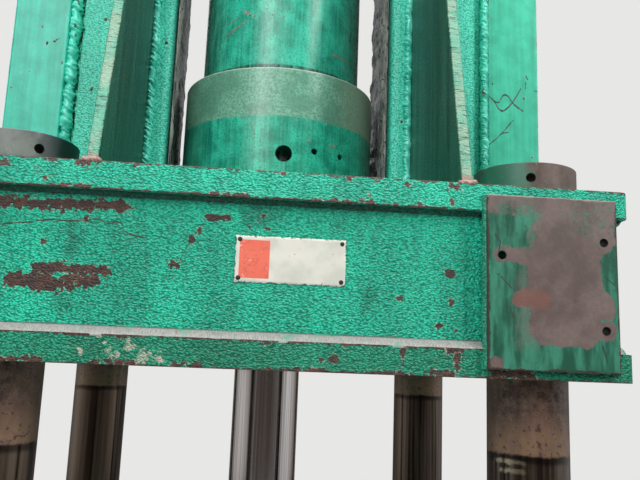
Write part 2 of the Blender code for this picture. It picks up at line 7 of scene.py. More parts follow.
import bmesh
import bpy
import numpy as np
from mathutils import Matrix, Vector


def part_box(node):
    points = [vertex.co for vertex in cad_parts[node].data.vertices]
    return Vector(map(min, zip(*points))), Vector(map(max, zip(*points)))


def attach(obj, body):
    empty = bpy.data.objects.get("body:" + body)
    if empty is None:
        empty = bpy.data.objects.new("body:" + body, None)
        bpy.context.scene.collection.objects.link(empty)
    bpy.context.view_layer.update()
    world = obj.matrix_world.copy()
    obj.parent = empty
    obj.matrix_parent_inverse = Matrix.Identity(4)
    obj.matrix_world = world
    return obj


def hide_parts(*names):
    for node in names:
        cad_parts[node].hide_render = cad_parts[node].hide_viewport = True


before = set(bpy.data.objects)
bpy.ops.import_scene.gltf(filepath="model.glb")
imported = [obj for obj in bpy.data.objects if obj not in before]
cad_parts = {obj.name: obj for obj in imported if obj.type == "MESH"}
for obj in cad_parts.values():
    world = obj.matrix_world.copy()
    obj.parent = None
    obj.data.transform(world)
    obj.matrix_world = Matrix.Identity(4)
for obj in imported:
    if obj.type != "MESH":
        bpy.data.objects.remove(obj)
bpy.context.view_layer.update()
scene = bpy.context.scene
scene.view_settings.view_transform = "Standard"

# Camera: it stands about a metre in front of the crosshead, level with its lower edge, looks up a
# little and to the right, and is rolled by two degrees.
image_width_px = 640
focal_length_px = 706.57
camera_place = (-0.0315, -1.4203, 1.5133)
camera_turn = 0.0890
camera_lift = 0.1724
camera_roll = 0.0377

lens = bpy.data.cameras.new("press_camera")
lens.sensor_width = 36.0
lens.lens = lens.sensor_width * focal_length_px / image_width_px
camera = bpy.data.objects.new("press_camera", lens)
camera.matrix_world = (
    Matrix.Translation(camera_place)
    @ Matrix.Rotation(-camera_turn, 4, "Z")
    @ Matrix.Rotation(math.pi / 2 + camera_lift, 4, "X")
    @ Matrix.Rotation(camera_roll, 4, "Z")
)
scene.collection.objects.link(camera)
scene.camera = camera

# Light: two tall soft boxes stand where the cylinder shows its two bright bands, a wide one hangs
# overhead, and weak ones fill in. The angles are round the press, from its front.
box_look_height = 1.9
soft_boxes = {
    "left_band": (-23.0, 3.2, 3.9, 1.10, 2.6, 92.0),
    "right_band": (46.0, 3.2, 3.9, 0.42, 2.6, 78.0),
    "front_fill": (0.0, 4.0, 4.1, 1.6, 1.8, 20.0),
    "overhead": (0.0, 0.6, 5.2, 3.2, 2.4, 95.0),
    "rear_left": (-150.0, 3.8, 3.2, 1.6, 2.2, 40.0),
    "rear_right": (145.0, 3.8, 3.2, 1.6, 2.2, 40.0),
}
for box_name, (turn, distance, height, width, tallness, watts) in soft_boxes.items():
    lamp = bpy.data.lights.new(box_name, "AREA")
    lamp.shape = "RECTANGLE"
    lamp.size = width
    lamp.size_y = tallness
    lamp.energy = watts
    holder = bpy.data.objects.new(box_name, lamp)
    swing = math.radians(turn)
    holder.location = (distance * math.sin(swing), -distance * math.cos(swing), height)
    holder.rotation_euler = (math.atan2(distance, height - box_look_height), 0.0, swing)
    scene.collection.objects.link(holder)


# Surroundings: a pale floor and a pale room. The camera sees the room even, metal sees it pale at the
# sides and above and dim in front and behind, and the press gets a lower, neutral level from it.
room_seen = (0.80, 0.80, 0.79)
room_dim = (0.120, 0.104, 0.096)
room_light = (0.50, 0.51, 0.52)
room_light_strength = 0.32
side_window_power = 2.6
half_floor = 7.0
floor_colour = (0.62, 0.62, 0.60)
floor_fade = (1.4, 4.5)


class Value:
    """An output of a shader node. Sums, differences and products of values add maths nodes."""

    def __init__(self, socket):
        self.socket = socket

    def __add__(self, other):
        return maths("ADD", self, other)

    def __sub__(self, other):
        return maths("SUBTRACT", self, other)

    def __mul__(self, other):
        return maths("MULTIPLY", self, other)

    __rmul__ = __mul__


def feed(socket, value):
    """Link a value to an input, or set the input to a number, a vector, or a colour without its alpha."""
    if isinstance(value, Value):
        socket.id_data.links.new(value.socket, socket)
    elif np.ndim(value):
        socket.default_value = tuple(value) + (1.0,) * (len(socket.default_value) - len(value))
    else:
        socket.default_value = value


def add(kind, inputs, tree=None, **settings):
    """Add a shader node and return its outputs. Its tree is that of the first value it is given."""
    tree = tree or next(value.socket.id_data for value in inputs.values() if isinstance(value, Value))
    node = tree.nodes.new("ShaderNode" + kind)
    for name, value in settings.items():
        setattr(node, name, value)
    for key, value in inputs.items():
        feed(node.inputs[key], value)
    return node.outputs


def value_of(kind, inputs, output=0, tree=None, **settings):
    """Add a shader node and return one of its outputs as a value."""
    return Value(add(kind, inputs, tree, **settings)[output])


def maths(operation, *values, clamp=False):
    """Return the result of a maths node."""
    return value_of("Math", dict(enumerate(values)), operation=operation, use_clamp=clamp)


def scaled(value, factor, term):
    """Return value * factor + term, in one node."""
    return maths("MULTIPLY_ADD", value, factor, term)


def most(first, *others):
    """Return the largest of some values."""
    for other in others:
        first = maths("MAXIMUM", first, other)
    return first


def vector(operation, *values, output=0):
    """Return a result of a vector maths node: output 0 is a vector, output 1 a number."""
    return value_of("VectorMath", dict(enumerate(values)), output, operation=operation)


def axes(place):
    """Return a vector's three parts."""
    return [Value(socket) for socket in add("SeparateXYZ", {0: place})]


def step(value, low, high):
    """Return a smooth step: 0 where the value is at `low`, 1 where it is at `high`."""
    return value_of("MapRange", {"Value": value, "From Min": low, "From Max": high},
                    interpolation_type="SMOOTHSTEP")


def tint(factor, under, over, mode="MIX"):
    """Return the mix of two colours."""
    return value_of("Mix", {"Factor": factor, 6: under, 7: over}, 2, data_type="RGBA", blend_type=mode)


def begin(name):
    """Start a material, and return it with its object coordinates."""
    material = bpy.data.materials.new(name)
    material.use_nodes = True
    return material, value_of("TexCoord", {}, "Object", material.node_tree)


def settle(material, colour, rough, metal=0.0, bump=None, glint=0.5):
    """Feed a material's shader and return the material. The bump is (strength, distance, height)."""
    shader = material.node_tree.nodes["Principled BSDF"].inputs
    looks = {"Base Color": colour, "Roughness": rough, "Metallic": metal, "Specular IOR Level": glint}
    if bump:
        looks["Normal"] = value_of("Bump", dict(zip(("Strength", "Distance", "Height"), bump)))
    for key, value in looks.items():
        feed(shader[key], value)
    return material


world = bpy.data.worlds.new("pale_room")
world.use_nodes = True
air = world.node_tree
air.nodes.clear()
rays = add("LightPath", {}, air)
camera_ray, glossy_ray, through_ray = (
    Value(rays["Is %s Ray" % kind]) for kind in ("Camera", "Glossy", "Transmission"))
east, north, upward = axes(value_of("TexCoord", {}, "Generated", air))
sideways = east * east
side_share = maths("DIVIDE", sideways, scaled(north, north, sideways) + 0.0001)
side_share = maths("POWER", side_share, side_window_power)
window = maths("ADD", side_share, most(upward, 0.0) * 0.35, clamp=True)
view = tint(most(window, camera_ray, through_ray), room_dim, room_seen)
lit_room = value_of("Background", {"Color": room_light, "Strength": room_light_strength}, tree=air)
seen_room = value_of("Background", {"Color": view, "Strength": 1.0})
add("OutputWorld", {"Surface": value_of("MixShader", {
    0: most(camera_ray, glossy_ray, through_ray), 1: lit_room, 2: seen_room})})
scene.world = world

floor_mesh = bpy.data.meshes.new("floor")
floor_corners = [(x * half_floor, y * half_floor, 0) for x, y in ((-1, -1), (1, -1), (1, 1), (-1, 1))]
floor_mesh.from_pydata(floor_corners, [], [(0, 1, 2, 3)])
floor = bpy.data.objects.new("floor", floor_mesh)
scene.collection.objects.link(floor)
floor_material, floor_place = begin("pale_floor")
settle(floor_material, floor_colour, 0.7)
floor_tree = floor_material.node_tree
far_share = step(vector("LENGTH", floor_place, output=1), *floor_fade)
far_seen = far_share * value_of("LightPath", {}, "Is Camera Ray", floor_tree)
feed(floor_tree.nodes["Material Output"].inputs["Surface"], value_of("MixShader", {
    0: far_seen, 1: Value(floor_tree.nodes["Principled BSDF"].outputs[0]),
    2: value_of("Emission", {"Color": room_seen}, tree=floor_tree)}))
floor_mesh.materials.append(floor_material)


# Crosshead plates and webs: flame-cut steel plates welded into a box, with the webs set back between
# the plates, under green hammered enamel that has come off along the edges and in patches.
hammered_dark = (0.002, 0.222, 0.132)
hammered_light = (0.014, 0.545, 0.350)
primer_brown = (0.048, 0.031, 0.028)
rust_brown = (0.105, 0.050, 0.038)
bare_pale = (0.400, 0.370, 0.300)
hammer_pitch = 0.0028
plate_ease = 0.0016
millimetre = 0.001
origin = (0.0, 0.0, 0.0)
sides = (("left", -1), ("right", 1))
ends = (("front", -1), ("rear", 1))


def grain(place, pitch, detail=2.0, roughness=0.5):
    """Return a noise value whose features are about `pitch` metres apart."""
    return value_of("TexNoise", {"Vector": place, "Scale": 1.0 / pitch, "Detail": detail,
                                 "Roughness": roughness})


def group(outputs, **inputs):
    """Turn a function of values into a node group, and into a function that places the group.

    `inputs` gives each input's default, and a tuple makes it a vector.
    """
    def build(fill):
        tree = bpy.data.node_groups.new(fill.__name__, "ShaderNodeTree")
        for label, default in inputs.items():
            kind = "NodeSocketVector" if isinstance(default, tuple) else "NodeSocketFloat"
            tree.interface.new_socket(label, in_out="INPUT", socket_type=kind).default_value = default
        for label in outputs:
            tree.interface.new_socket(label, in_out="OUTPUT", socket_type="NodeSocketFloat")
        given = tree.nodes.new("NodeGroupInput").outputs
        returned = tree.nodes.new("NodeGroupOutput").inputs
        for label, value in zip(outputs, fill(*(Value(given[label]) for label in inputs))):
            feed(returned[label], value)

        def place_group(*values):
            found = add("Group", dict(zip(inputs, values)), node_tree=tree)
            results = [Value(found[label]) for label in outputs]
            return results if len(results) > 1 else results[0]

        return place_group

    return build


@group(("height", "shade"), place=origin, pitch=0.005)
def hammered_enamel(place, pitch):
    """Hammered enamel: shallow round cells, bent by noise, with a finer ripple on them."""
    bend = value_of("TexNoise", {"Vector": place, "Scale": 140.0, "Detail": 0.0}, 1)
    bent = vector("MULTIPLY_ADD", bend, (0.003, 0.003, 0.003), place)
    bent = vector("MULTIPLY", bent, (0.72, 0.72, 1.15))
    scale = maths("DIVIDE", 1.0, pitch)
    cells = value_of("TexVoronoi", {"Vector": bent, "Scale": scale, "Smoothness": 0.45}, feature="SMOOTH_F1")
    ripple = value_of("TexNoise", {"Vector": bent, "Scale": scale, "Detail": 1.0})
    height = scaled(ripple, 0.6, maths("SUBTRACT", 1.0, cells) * 0.8)
    # The shade output rises with the height: the colour is painted lighter on the cells' raised parts,
    # painted light on the relief.
    return height, step(height, 0.45, 1.0)


@group(("tone",), place=origin, width=0.01, length=0.2)
def upright_runs(place, width, length):
    """Upright runs of dirt and thin paint: noise drawn out along Z."""
    across = maths("DIVIDE", 1.0, width)
    stretch = value_of("CombineXYZ", {0: across, 1: across, 2: maths("DIVIDE", 1.0, length)})
    return (step(grain(vector("MULTIPLY", place, stretch), 1.0, 3.0, 0.6), 0.36, 0.66),)


@group(("mask", "rim"), place=origin, centre=origin, half=(0.01, 0.01, 0.01), corner=0.0, fray=0.0,
       reach=0.0, soft=0.0004)
def missing_patch(place, centre, half, corner, fray, reach, soft):
    """A missing patch: the distance to a box with round corners, frayed by noise.

    The distance is the length of the part of |place - centre| - half that is over zero, plus its
    largest part where that is under zero, less the corner radius.
    """
    past = vector("SUBTRACT", vector("ABSOLUTE", vector("SUBTRACT", place, centre)), half)
    outside = vector("LENGTH", vector("MAXIMUM", past, origin), output=1)
    distance = outside + maths("MINIMUM", most(*axes(past)), 0.0)
    level = scaled(fray, reach, distance) - corner
    return step(level, soft, soft * -1.0), step(level, 0.0030, 0.0014) * step(level, -0.0014, 0.0002)


@group(("mask",), place=origin, start=origin, end=(1.0, 0.0, 0.0), width=0.001, fray=0.0)
def scratch(place, start, end, width, fray):
    """A scratch: the distance to the straight line between two points, against half the width."""
    run = vector("SUBTRACT", end, start)
    offset = vector("SUBTRACT", place, start)
    share = maths("DIVIDE", vector("DOT_PRODUCT", offset, run, output=1),
                  vector("DOT_PRODUCT", run, run, output=1), clamp=True)
    foot = value_of("VectorMath", {0: run, "Scale": share}, operation="SCALE")
    gap = vector("LENGTH", vector("SUBTRACT", offset, foot), output=1)
    return (step(scaled(fray, width, gap), width, width * 0.55),)


@group(("mask",), place=origin, centre=origin, half=(1.0, 1.0, 1.0), band=0.003, fray=0.0, reach=0.0)
def edge_wear(place, centre, half, band, fray, reach):
    """How near a box's surface is to its nearest edge: the middle one of the three gaps to its faces."""
    x, y, z = axes(vector("SUBTRACT", half, vector("ABSOLUTE", vector("SUBTRACT", place, centre))))
    middle = most(maths("MINIMUM", x, y), maths("MINIMUM", most(x, y), z))
    return (step(scaled(fray, reach, middle), band, band * 0.6),)


def drawn_line(place, places, front, width, fray):
    """Mark a line across a front face: a curve gives its height at each x, and the mark is where the
    gap to that height, frayed, is under the width, between the line's two ends."""
    points = np.array(places, float) * millimetre
    low, high = points.min(axis=0), points.max(axis=0)
    x, y, z = axes(place)
    share = value_of("MapRange", {"Value": x, "From Min": low[0], "From Max": high[0]})
    curve = value_of("FloatCurve", {"Value": share})
    mapping = curve.socket.node.mapping
    shares = (points - low) / (high - low)
    track = mapping.curves[0].points
    track[0].location = shares[0]
    track[1].location = shares[-1]
    for knot in shares[1:-1]:
        track.new(*knot)
    mapping.update()
    gap = maths("ABSOLUTE", z - scaled(curve, high[1] - low[1], low[1]))
    mark = step(scaled(fray, width, gap), width, width * 0.5)
    reach = (high[0] - low[0]) / 2
    within = step(maths("ABSOLUTE", x - (low[0] + high[0]) / 2), reach + width, reach)
    return mark * (within * step(maths("ABSOLUTE", y - front), 0.004, 0.002))


def enamel(name, dark=hammered_dark, light=hammered_light, relief=0.55, pitch=hammer_pitch, gloss=0.31,
           glint=0.30, shade_depth=1.0, run_depth=0.25, run_size=(0.05, 0.35), chips=(), pales=(),
           scratches=(), lines=(), edges=None, edge_band=0.003, specks=0.0, under=primer_brown, grime_and_shade=(),
           over=None):
    """Make a painted finish.

    Chips and pales are (centre, half, corner, reach) patches down to primer or to pale bare metal,
    scratches are (from, to, width), lines are (places, front, width) drawn across a front face, edges
    is a (low, high) box whose edges are worn, and the patches that are only darkened are dirt in some
    places and painted shade in others.
    The function `over` is given the place and the colour, and returns the colour with more on it.
    """
    material, place = begin(name)
    coarse_fray = grain(place, 0.016) - 0.5
    fray = scaled(coarse_fray, 1.1, (grain(place, 0.0060, 1.5) - 0.5) * 1.5)
    if relief:
        height, shade = hammered_enamel(place, pitch)
    else:
        height = grain(place, 0.004, 3.0)
        shade = step(grain(place, 0.03, 4.0), 0.3, 0.7)
    # With relief, the colour is painted lighter on the raised cells, painted light on the relief; without
    # it, the colour mottles at random.
    colour = tint(scaled(shade, shade_depth, 0.5 - shade_depth / 2), dark, light)
    tone = scaled(upright_runs(place, *run_size), run_depth, 1.0 - run_depth * 0.6)
    broad_depth = run_depth if relief else run_depth * 0.4
    tone = scaled(step(grain(place, 0.16), 0.25, 0.75), broad_depth, tone - broad_depth / 2)
    # Darkened patches: dirt on the web, and painted shade in holes, down the cylinder's sides, over the
    # collar and under the top plate.
    for centre, half, corner, reach, soft, strength in grime_and_shade:
        mask = missing_patch(place, centre, half, corner, coarse_fray, reach, soft)[0]
        tone = tone * scaled(mask, -strength, 1.0)
    colour = tint(1.0, colour, value_of("CombineColor", {0: tone, 1: tone, 2: tone}), "MULTIPLY")
    bare, rims, pale = 0.0, 0.0, 0.0
    for centre, half, corner, reach in chips:
        mask, rim = missing_patch(place, centre, half, corner, fray, reach)
        bare, rims = most(bare, mask), most(rims, rim)
    for centre, half, corner, reach in pales:
        pale = most(pale, missing_patch(place, centre, half, corner, fray, reach)[0])
    for mark in scratches:
        bare = most(bare, scratch(place, *mark, fray))
    for line in lines:
        bare = most(bare, drawn_line(place, *line, fray))
    if edges is not None:
        low, high = edges
        worn = edge_wear(place, (low + high) / 2, (high - low) / 2, edge_band, fray, edge_band * 2.4)
        bare = most(bare, worn)
    if specks:
        speck = step(grain(place, 0.011), 0.80 - specks, 0.82 - specks)
        bare = most(bare, speck * step(grain(place, 0.09, 1.0), 0.45, 0.60))
    mottle = grain(place, 0.014, 4.0, 0.7)
    pale_tone = tint(step(mottle, 0.35, 0.6), light, bare_pale)
    colour = tint(pale * step(mottle, 0.38, 0.52), colour, pale_tone)
    colour = tint(bare, colour, tint(step(mottle, 0.42, 0.66), under, rust_brown))
    flecks = step(grain(place, 0.0034), 0.54, 0.62)
    colour = tint(rims * flecks * 0.6, colour, bare_pale)
    rough = scaled(mottle, 0.16, gloss - 0.08) + bare * 0.35
    if over:
        colour = over(place, colour)
    return settle(material, colour, rough, 0.0, (1.0, max(1.6 * relief * pitch, 0.00025), height), glint)


def box(node):
    """Return a CAD node's lowest and highest corner."""
    return np.array(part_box(node))


def full_turn(steps):
    """Return angles evenly round a circle."""
    return np.linspace(0.0, 2 * math.pi, steps, endpoint=False)


def join_piece(name, points, faces, angle):
    """Make a closed piece with its faces pointing outwards, shaded smooth up to an angle if given."""
    mesh = bpy.data.meshes.new(name)
    mesh.from_pydata(np.asarray(points).tolist(), [], faces)
    mesh.update()
    piece = bpy.data.objects.new(name, mesh)
    scene.collection.objects.link(piece)
    shape = bmesh.new()
    shape.from_mesh(mesh)
    bmesh.ops.remove_doubles(shape, verts=shape.verts, dist=0.000001)
    bmesh.ops.recalc_face_normals(shape, faces=shape.faces)
    shape.to_mesh(mesh)
    shape.free()
    if angle:
        smooth(piece, angle)
    return piece


def skin(rings, loop=False):
    """Skin an array of rings of shape (rings, points, 3) and return its points and faces.

    Quad (i, j) joins points j and j + 1 of rings i and i + 1. `loop` joins the last ring to the
    first, and otherwise one face closes each end ring.
    """
    count, size = rings.shape[:2]
    i, j = np.meshgrid(np.arange(count if loop else count - 1), np.arange(size), indexing="ij")
    i, j = i.ravel(), j.ravel()
    i_next, j_next = (i + 1) % count, (j + 1) % size
    quads = [i * size + j, i * size + j_next, i_next * size + j_next, i_next * size + j]
    faces = np.stack(quads, axis=1).tolist()
    if not loop:
        faces.append(list(range(size))[::-1])
        faces.append([(count - 1) * size + index for index in range(size)])
    return rings.reshape(-1, 3), faces


def solid(name, rings, angle=40.0, loop=False):
    """Make a closed piece from rings."""
    return join_piece(name, *skin(rings, loop), angle)


def smooth(piece, angle=40.0):
    """Shade a piece smooth up to an angle, with flat faces kept flat."""
    piece.data.shade_smooth()
    piece.data.set_sharp_from_angle(angle=math.radians(angle))
    weighting = piece.modifiers.new("flat_faces", "WEIGHTED_NORMAL")
    weighting.keep_sharp = True
    weighting.weight = 50


def dress(piece, material, *nodes, slot="hammered_green", body="frame"):
    """Give a piece its material and the body it rides on, and hide the nodes it stands for. The slot is not
    used.
    """
    piece.data.materials.clear()
    piece.data.materials.append(material)
    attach(piece, body)
    if nodes:
        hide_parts(*nodes)


def dress_eased(node, ease, material, **rides):
    """Copy a node, merge its triangles into flat faces, round its edges and dress it."""
    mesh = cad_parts[node].data.copy()
    mesh.name = node + "_eased"
    piece = bpy.data.objects.new(node + "_eased", mesh)
    scene.collection.objects.link(piece)
    shape = bmesh.new()
    shape.from_mesh(mesh)
    bmesh.ops.remove_doubles(shape, verts=shape.verts, dist=0.00002)
    bmesh.ops.dissolve_limit(shape, angle_limit=math.radians(1.0), verts=shape.verts, edges=shape.edges)
    shape.to_mesh(mesh)
    shape.free()
    rounding = piece.modifiers.new("eased_edges", "BEVEL")
    rounding.width = ease
    rounding.segments = 3
    rounding.limit_method = "ANGLE"
    rounding.angle_limit = math.radians(40.0)
    rounding.use_clamp_overlap = True
    smooth(piece)
    dress(piece, material, node, **rides)


def face_mark(x, z, half_x, half_z, fray, front, corner=1000.0):
    """A patch on a front face, in millimetres from the press's middle and from the floor."""
    corner = min(corner, half_x, half_z)
    return ((x * millimetre, front, z * millimetre),
            ((half_x - corner) * millimetre, 0.008, (half_z - corner) * millimetre),
            corner * millimetre, fray * 1.5 * millimetre)


def face_marks(front, rows):
    """Patches on a front face, each (x, z, half_x, half_z, fray)."""
    return [face_mark(*row, front) for row in rows]


def line_marks(places, front, width):
    """Scratches along a broken line on a front face, in millimetres."""
    points = [(x * millimetre, front, z * millimetre) for x, z in places]
    return [(start, end, width) for start, end in zip(points, points[1:])]


top_low, top_high = box("crosshead_top_plate")
foot_low, foot_high = box("crosshead_bottom_plate")
web_low, web_high = box("crosshead_front_web")
top_front = top_low[1]
web_front = web_low[1]

top_chips = face_marks(top_front, (
    (-378, 1766, 6, 5, 8), (-337, 1761, 3, 3, 5), (-323, 1747, 3, 3, 5), (-318, 1774, 12, 2.5, 9),
    (-269, 1775, 15, 6, 10), (-203, 1774, 4, 3, 4), (0, 1773, 3, 2, 4), (92, 1771, 3, 2.5, 4),
    (132, 1769, 3, 2.5, 5), (177, 1770, 4, 4, 6), (243, 1768, 10, 6, 8), (241, 1745, 4, 5, 4),
    (121, 1749, 2, 2, 3), (119, 1739, 10, 4, 8), (51, 1738, 6, 2.5, 5), (72, 1737, 8, 3, 6),
    (89, 1737, 6, 3, 5), (-32, 1738, 4, 2, 4), (195, 1739, 3, 3, 4), (161, 1737, 5, 2.5, 4),
    (-70, 1738, 30, 2.0, 6), (-280, 1739, 22, 2.0, 6), (-460, 1740, 18, 4.0, 9), (-440, 1772, 14, 4, 8)))
foot_pales = face_marks(top_front, (
    (-256, 1518, 5, 5, 6), (-215, 1516, 11, 9, 14), (-168, 1513, 20, 9, 14), (-193, 1524, 6, 10, 12),
    (-232, 1537, 4, 2, 5)))
foot_chips = face_marks(top_front, (
    (-202, 1539, 6, 3, 5), (-11, 1539, 5, 3, 4), (90, 1540, 5, 2.5, 4), (79, 1519, 6, 5.5, 4),
    (62, 1518, 4, 2.5, 3), (174, 1532, 3, 8, 4), (174, 1519, 1.6, 5, 3), (247, 1537, 12, 5, 7),
    (249, 1522, 5, 12, 6), (-330, 1504, 30, 4, 8), (-210, 1505, 26, 4, 9), (-120, 1503, 24, 3, 7),
    (40, 1503, 34, 3, 7), (150, 1503, 30, 3, 8), (-420, 1505, 30, 5, 9), (230, 1505, 22, 4, 8),
    (303, 1520, 9, 14, 9), (330, 1509, 30, 7, 10)))
web_chips = face_marks(web_front, (
    (-345, 1715.0, 90, 7.6, 8), (-243, 1716.5, 36, 7.4, 8), (-280, 1626.0, 54, 7.2, 9),
    (-318, 1608, 48, 10.5, 10), (-262, 1611, 24, 9.0, 9), (-88, 1708, 19, 4.6, 5), (-112, 1688, 2.4, 5, 3),
    (-122, 1676, 4.0, 5.5, 4), (-143, 1640, 6.5, 4.5, 7), (-299, 1705, 4, 4.5, 4), (-267, 1696, 3.5, 5, 5),
    (-320, 1662, 3.5, 3.5, 4), (243, 1646, 7, 7.5, 5), (171, 1607, 5, 2.5, 4), (244, 1605, 3, 5, 5),
    (227, 1571, 4.5, 4, 4), (251, 1565, 2.5, 2.5, 3), (-25, 1713, 2.2, 2.6, 3), (-43, 1696, 1.8, 1.8, 2),
    (-18, 1696, 3.0, 2.0, 3), (-33, 1706, 1.5, 1.5, 2), (-420, 1580, 8, 5, 8), (-455, 1690, 6, 9, 8)))
crack_places = ((-379, 1682), (-360, 1685), (-340, 1687.5), (-314, 1692), (-283, 1692), (-267, 1694),
                (-251, 1696), (-236, 1691), (-224, 1694), (-217, 1685), (-210, 1679), (-190, 1674))
scrape_places = ((-144, 1620), (-130, 1660), (-108, 1699))
web_lines = ((crack_places, web_front, 0.0013), (scrape_places, web_front, 0.0016))
# Darkened patches on the web. The last, a thin band all along under the top plate, is painted shadow under
# the plate's overhang.
web_grime_and_shadow = [(*face_mark(*row, web_front, corner), 0.012, strength) for *row, corner, strength in (
    (-285, 1664, 12, 20, 30, 10, 0.40), (-289, 1576, 10, 14, 24, 9, 0.35), (124, 1606, 8, 18, 20, 7, 0.45),
    (-30, 1714, 26, 14, 30, 12, 0.40), (0, 1733, 400, 3, 12, 3, 0.45))]

# The top plate's enamel is painted lighter than the web's, painted light on its front edge; the bottom
# plate's is darker than the web's.
top_enamel = enamel("crosshead_top_enamel", (0.005, 0.255, 0.158), (0.026, 0.590, 0.390), chips=top_chips,
                    edges=(top_low, top_high), edge_band=0.0024, specks=0.06, under=(0.110, 0.072, 0.064))
foot_enamel = enamel("crosshead_foot_enamel", (0.002, 0.120, 0.066), (0.006, 0.285, 0.160), chips=foot_chips,
                     pales=foot_pales, edges=(foot_low, foot_high), edge_band=0.0026, specks=0.06)
web_enamel = enamel("crosshead_web_enamel", chips=web_chips, lines=web_lines, grime_and_shade=web_grime_and_shadow, specks=0.02)
side_enamel = enamel("crosshead_side_enamel", specks=0.10)
for node, material in (("top_plate", top_enamel), ("bottom_plate", foot_enamel), ("front_web", web_enamel),
                       ("rear_web", side_enamel), ("left_web", side_enamel), ("right_web", side_enamel)):
    dress_eased("crosshead_" + node, plate_ease, material)


# Crosshead seams: the webs are welded to both plates all round. The lower seam was ground to a flat
# bevel and shows as a pale strip, and the upper one is a small hollow fillet in the shadow.
seam_step = 0.002
seam_sunk = 0.003
strip_low = foot_high[2]


def waves(along, pitches, seed):
    """A wandering line: the mean of sines of the given pitches, with phases drawn from a seed."""
    phases = np.random.default_rng(seed).uniform(0.0, 2 * math.pi, len(pitches))
    sines = [np.sin(2 * math.pi * along / pitch + phase) for pitch, phase in zip(pitches, phases)]
    return sum(sines) / len(pitches)


def seam(name, corner, out, up, leg_out, leg_up, wander, belly, seed, material=None, slot="hammered_green"):
    """Lay a fillet along an inside corner.

    Section point k goes from the leg on the plate to the leg on the web along a straight line, moved
    out by belly * sin(pi k). Both legs wander along the seam, and the back stays in the corner.
    """
    start, end, out, up = (np.array(value, float) for value in (*corner, out, up))
    length = np.linalg.norm(end - start)
    along = np.linspace(0.0, length, int(length / seam_step))
    spine = (start + (end - start) * (along / length)[:, None])[:, None]
    foot = (leg_out + wander * waves(along, (0.031, 0.083, 0.190), seed))[:, None]
    head = (leg_up + wander * waves(along, (0.023, 0.067, 0.150), seed + 1))[:, None]
    share = np.linspace(0.0, 1.0, 7)
    swell = belly * np.sin(math.pi * share)
    across, rise = foot * (1 - share) + swell, head * share + swell
    face = spine + across[..., None] * out + rise[..., None] * up
    back = spine - seam_sunk * out - seam_sunk * up
    low_back = spine + foot[..., None] * out - seam_sunk * up
    high_back = spine + head[..., None] * up - seam_sunk * out
    rings = np.concatenate([face, high_back, back, low_back], axis=1)
    dress(solid(name, rings, 50.0), material or seam_enamel, slot=slot)


def ground_strip():
    """Pale ground weld: grey with a slanting grinding grain, rust spots and a few green remains."""
    material, place = begin("ground_weld")
    slant = value_of("Mapping", {"Vector": place, "Rotation": (0.0, math.radians(52.0), 0.0),
                                 "Scale": (900.0, 200.0, 60.0)})
    lines = grain(slant, 1.0)
    colour = tint(step(lines, 0.30, 0.70), (0.215, 0.225, 0.205), (0.36, 0.355, 0.335))
    colour = tint(step(grain(place, 0.035, 4.0, 0.65), 0.56, 0.70), colour, (0.12, 0.30, 0.22))
    seam_shade = step(axes(place)[2], strip_low + 0.0092, strip_low + 0.0112)
    colour = tint(seam_shade * 0.75, colour, (0.02, 0.06, 0.045))
    colour = tint(step(grain(place, 0.02, 3.0), 0.66, 0.74), colour, (0.25, 0.13, 0.10))
    return settle(material, colour, 0.55, 0.25, (0.35, 0.0005, lines))


def web_corner(y, z):
    """The two ends of a corner line along X, over the front web's width."""
    return (web_low[0], y, z), (web_high[0], y, z)


ground_weld = ground_strip()
seam_enamel = enamel("seam_enamel", (0.012, 0.16, 0.10), (0.05, 0.36, 0.24), 0.4, 0.003, specks=0.08)
# The upper seam's enamel is near-black: painted shadow under the top plate's overhang.
painted_shadow_enamel = enamel("painted_shadow_seam_enamel", (0.002, 0.045, 0.030), (0.008, 0.130, 0.085), 0.4, 0.003)
front_out = (0, -1, 0)
seam("lower_front_seam", web_corner(web_front, strip_low), front_out, (0, 0, 1), 0.0138, 0.0118, 0.0011,
     0.0004, 3, ground_weld)
seam("upper_front_seam", web_corner(web_front, top_low[2]), front_out, (0, 0, -1), 0.009, 0.007, 0.0010,
     -0.0012, 5, painted_shadow_enamel)
rear_face = box("crosshead_rear_web")[1][1]
side_face = box("crosshead_right_web")[1][0]
for label, level, up in (("lower", strip_low, 1), ("upper", top_low[2], -1)):
    shape = (0.010, 0.011, 0.001, 0.0008)
    seam(label + "_rear_seam", web_corner(rear_face, level), (0, 1, 0), (0, 0, up), *shape, 7)
    for side_name, side in sides:
        corner = [(side * side_face, y, level) for y in (web_front, rear_face)]
        seam(label + "_" + side_name + "_seam", corner, (side, 0, 0), (0, 0, up), *shape, 9 + side)


# Corner pad: a machined plate on the front right corner with three tapped holes, left in worn mauve
# primer where a bracket used to sit, with green enamel round it.
pad_low, pad_high = box("corner_pad")
pad_front = pad_low[1]
pad_bare_areas = (
    (400, 1640, 53, 93, 30), (455, 1606, 17, 19, 16), (458.5, 1695, 15, 15, 15), (458.5, 1571, 14, 14, 14),
    (330, 1672, 32, 13, 12), (384, 1747, 100, 19, 6), (455, 1716, 25, 26, 12), (345, 1612, 22, 14, 13),
    (300, 1517, 10, 13, 6), (322, 1512, 24, 4, 4),
)
pad_hole_places = ((309.5, 1671.4), (458.5, 1696.4), (458.5, 1571.4))
pad_cracks = (((307, 1642), (323, 1625)), ((320, 1600), (325, 1585)), ((457, 1649), (473, 1636)),
              ((452, 1551), (458, 1530)), ((300, 1700), (307, 1690), (304, 1672)))


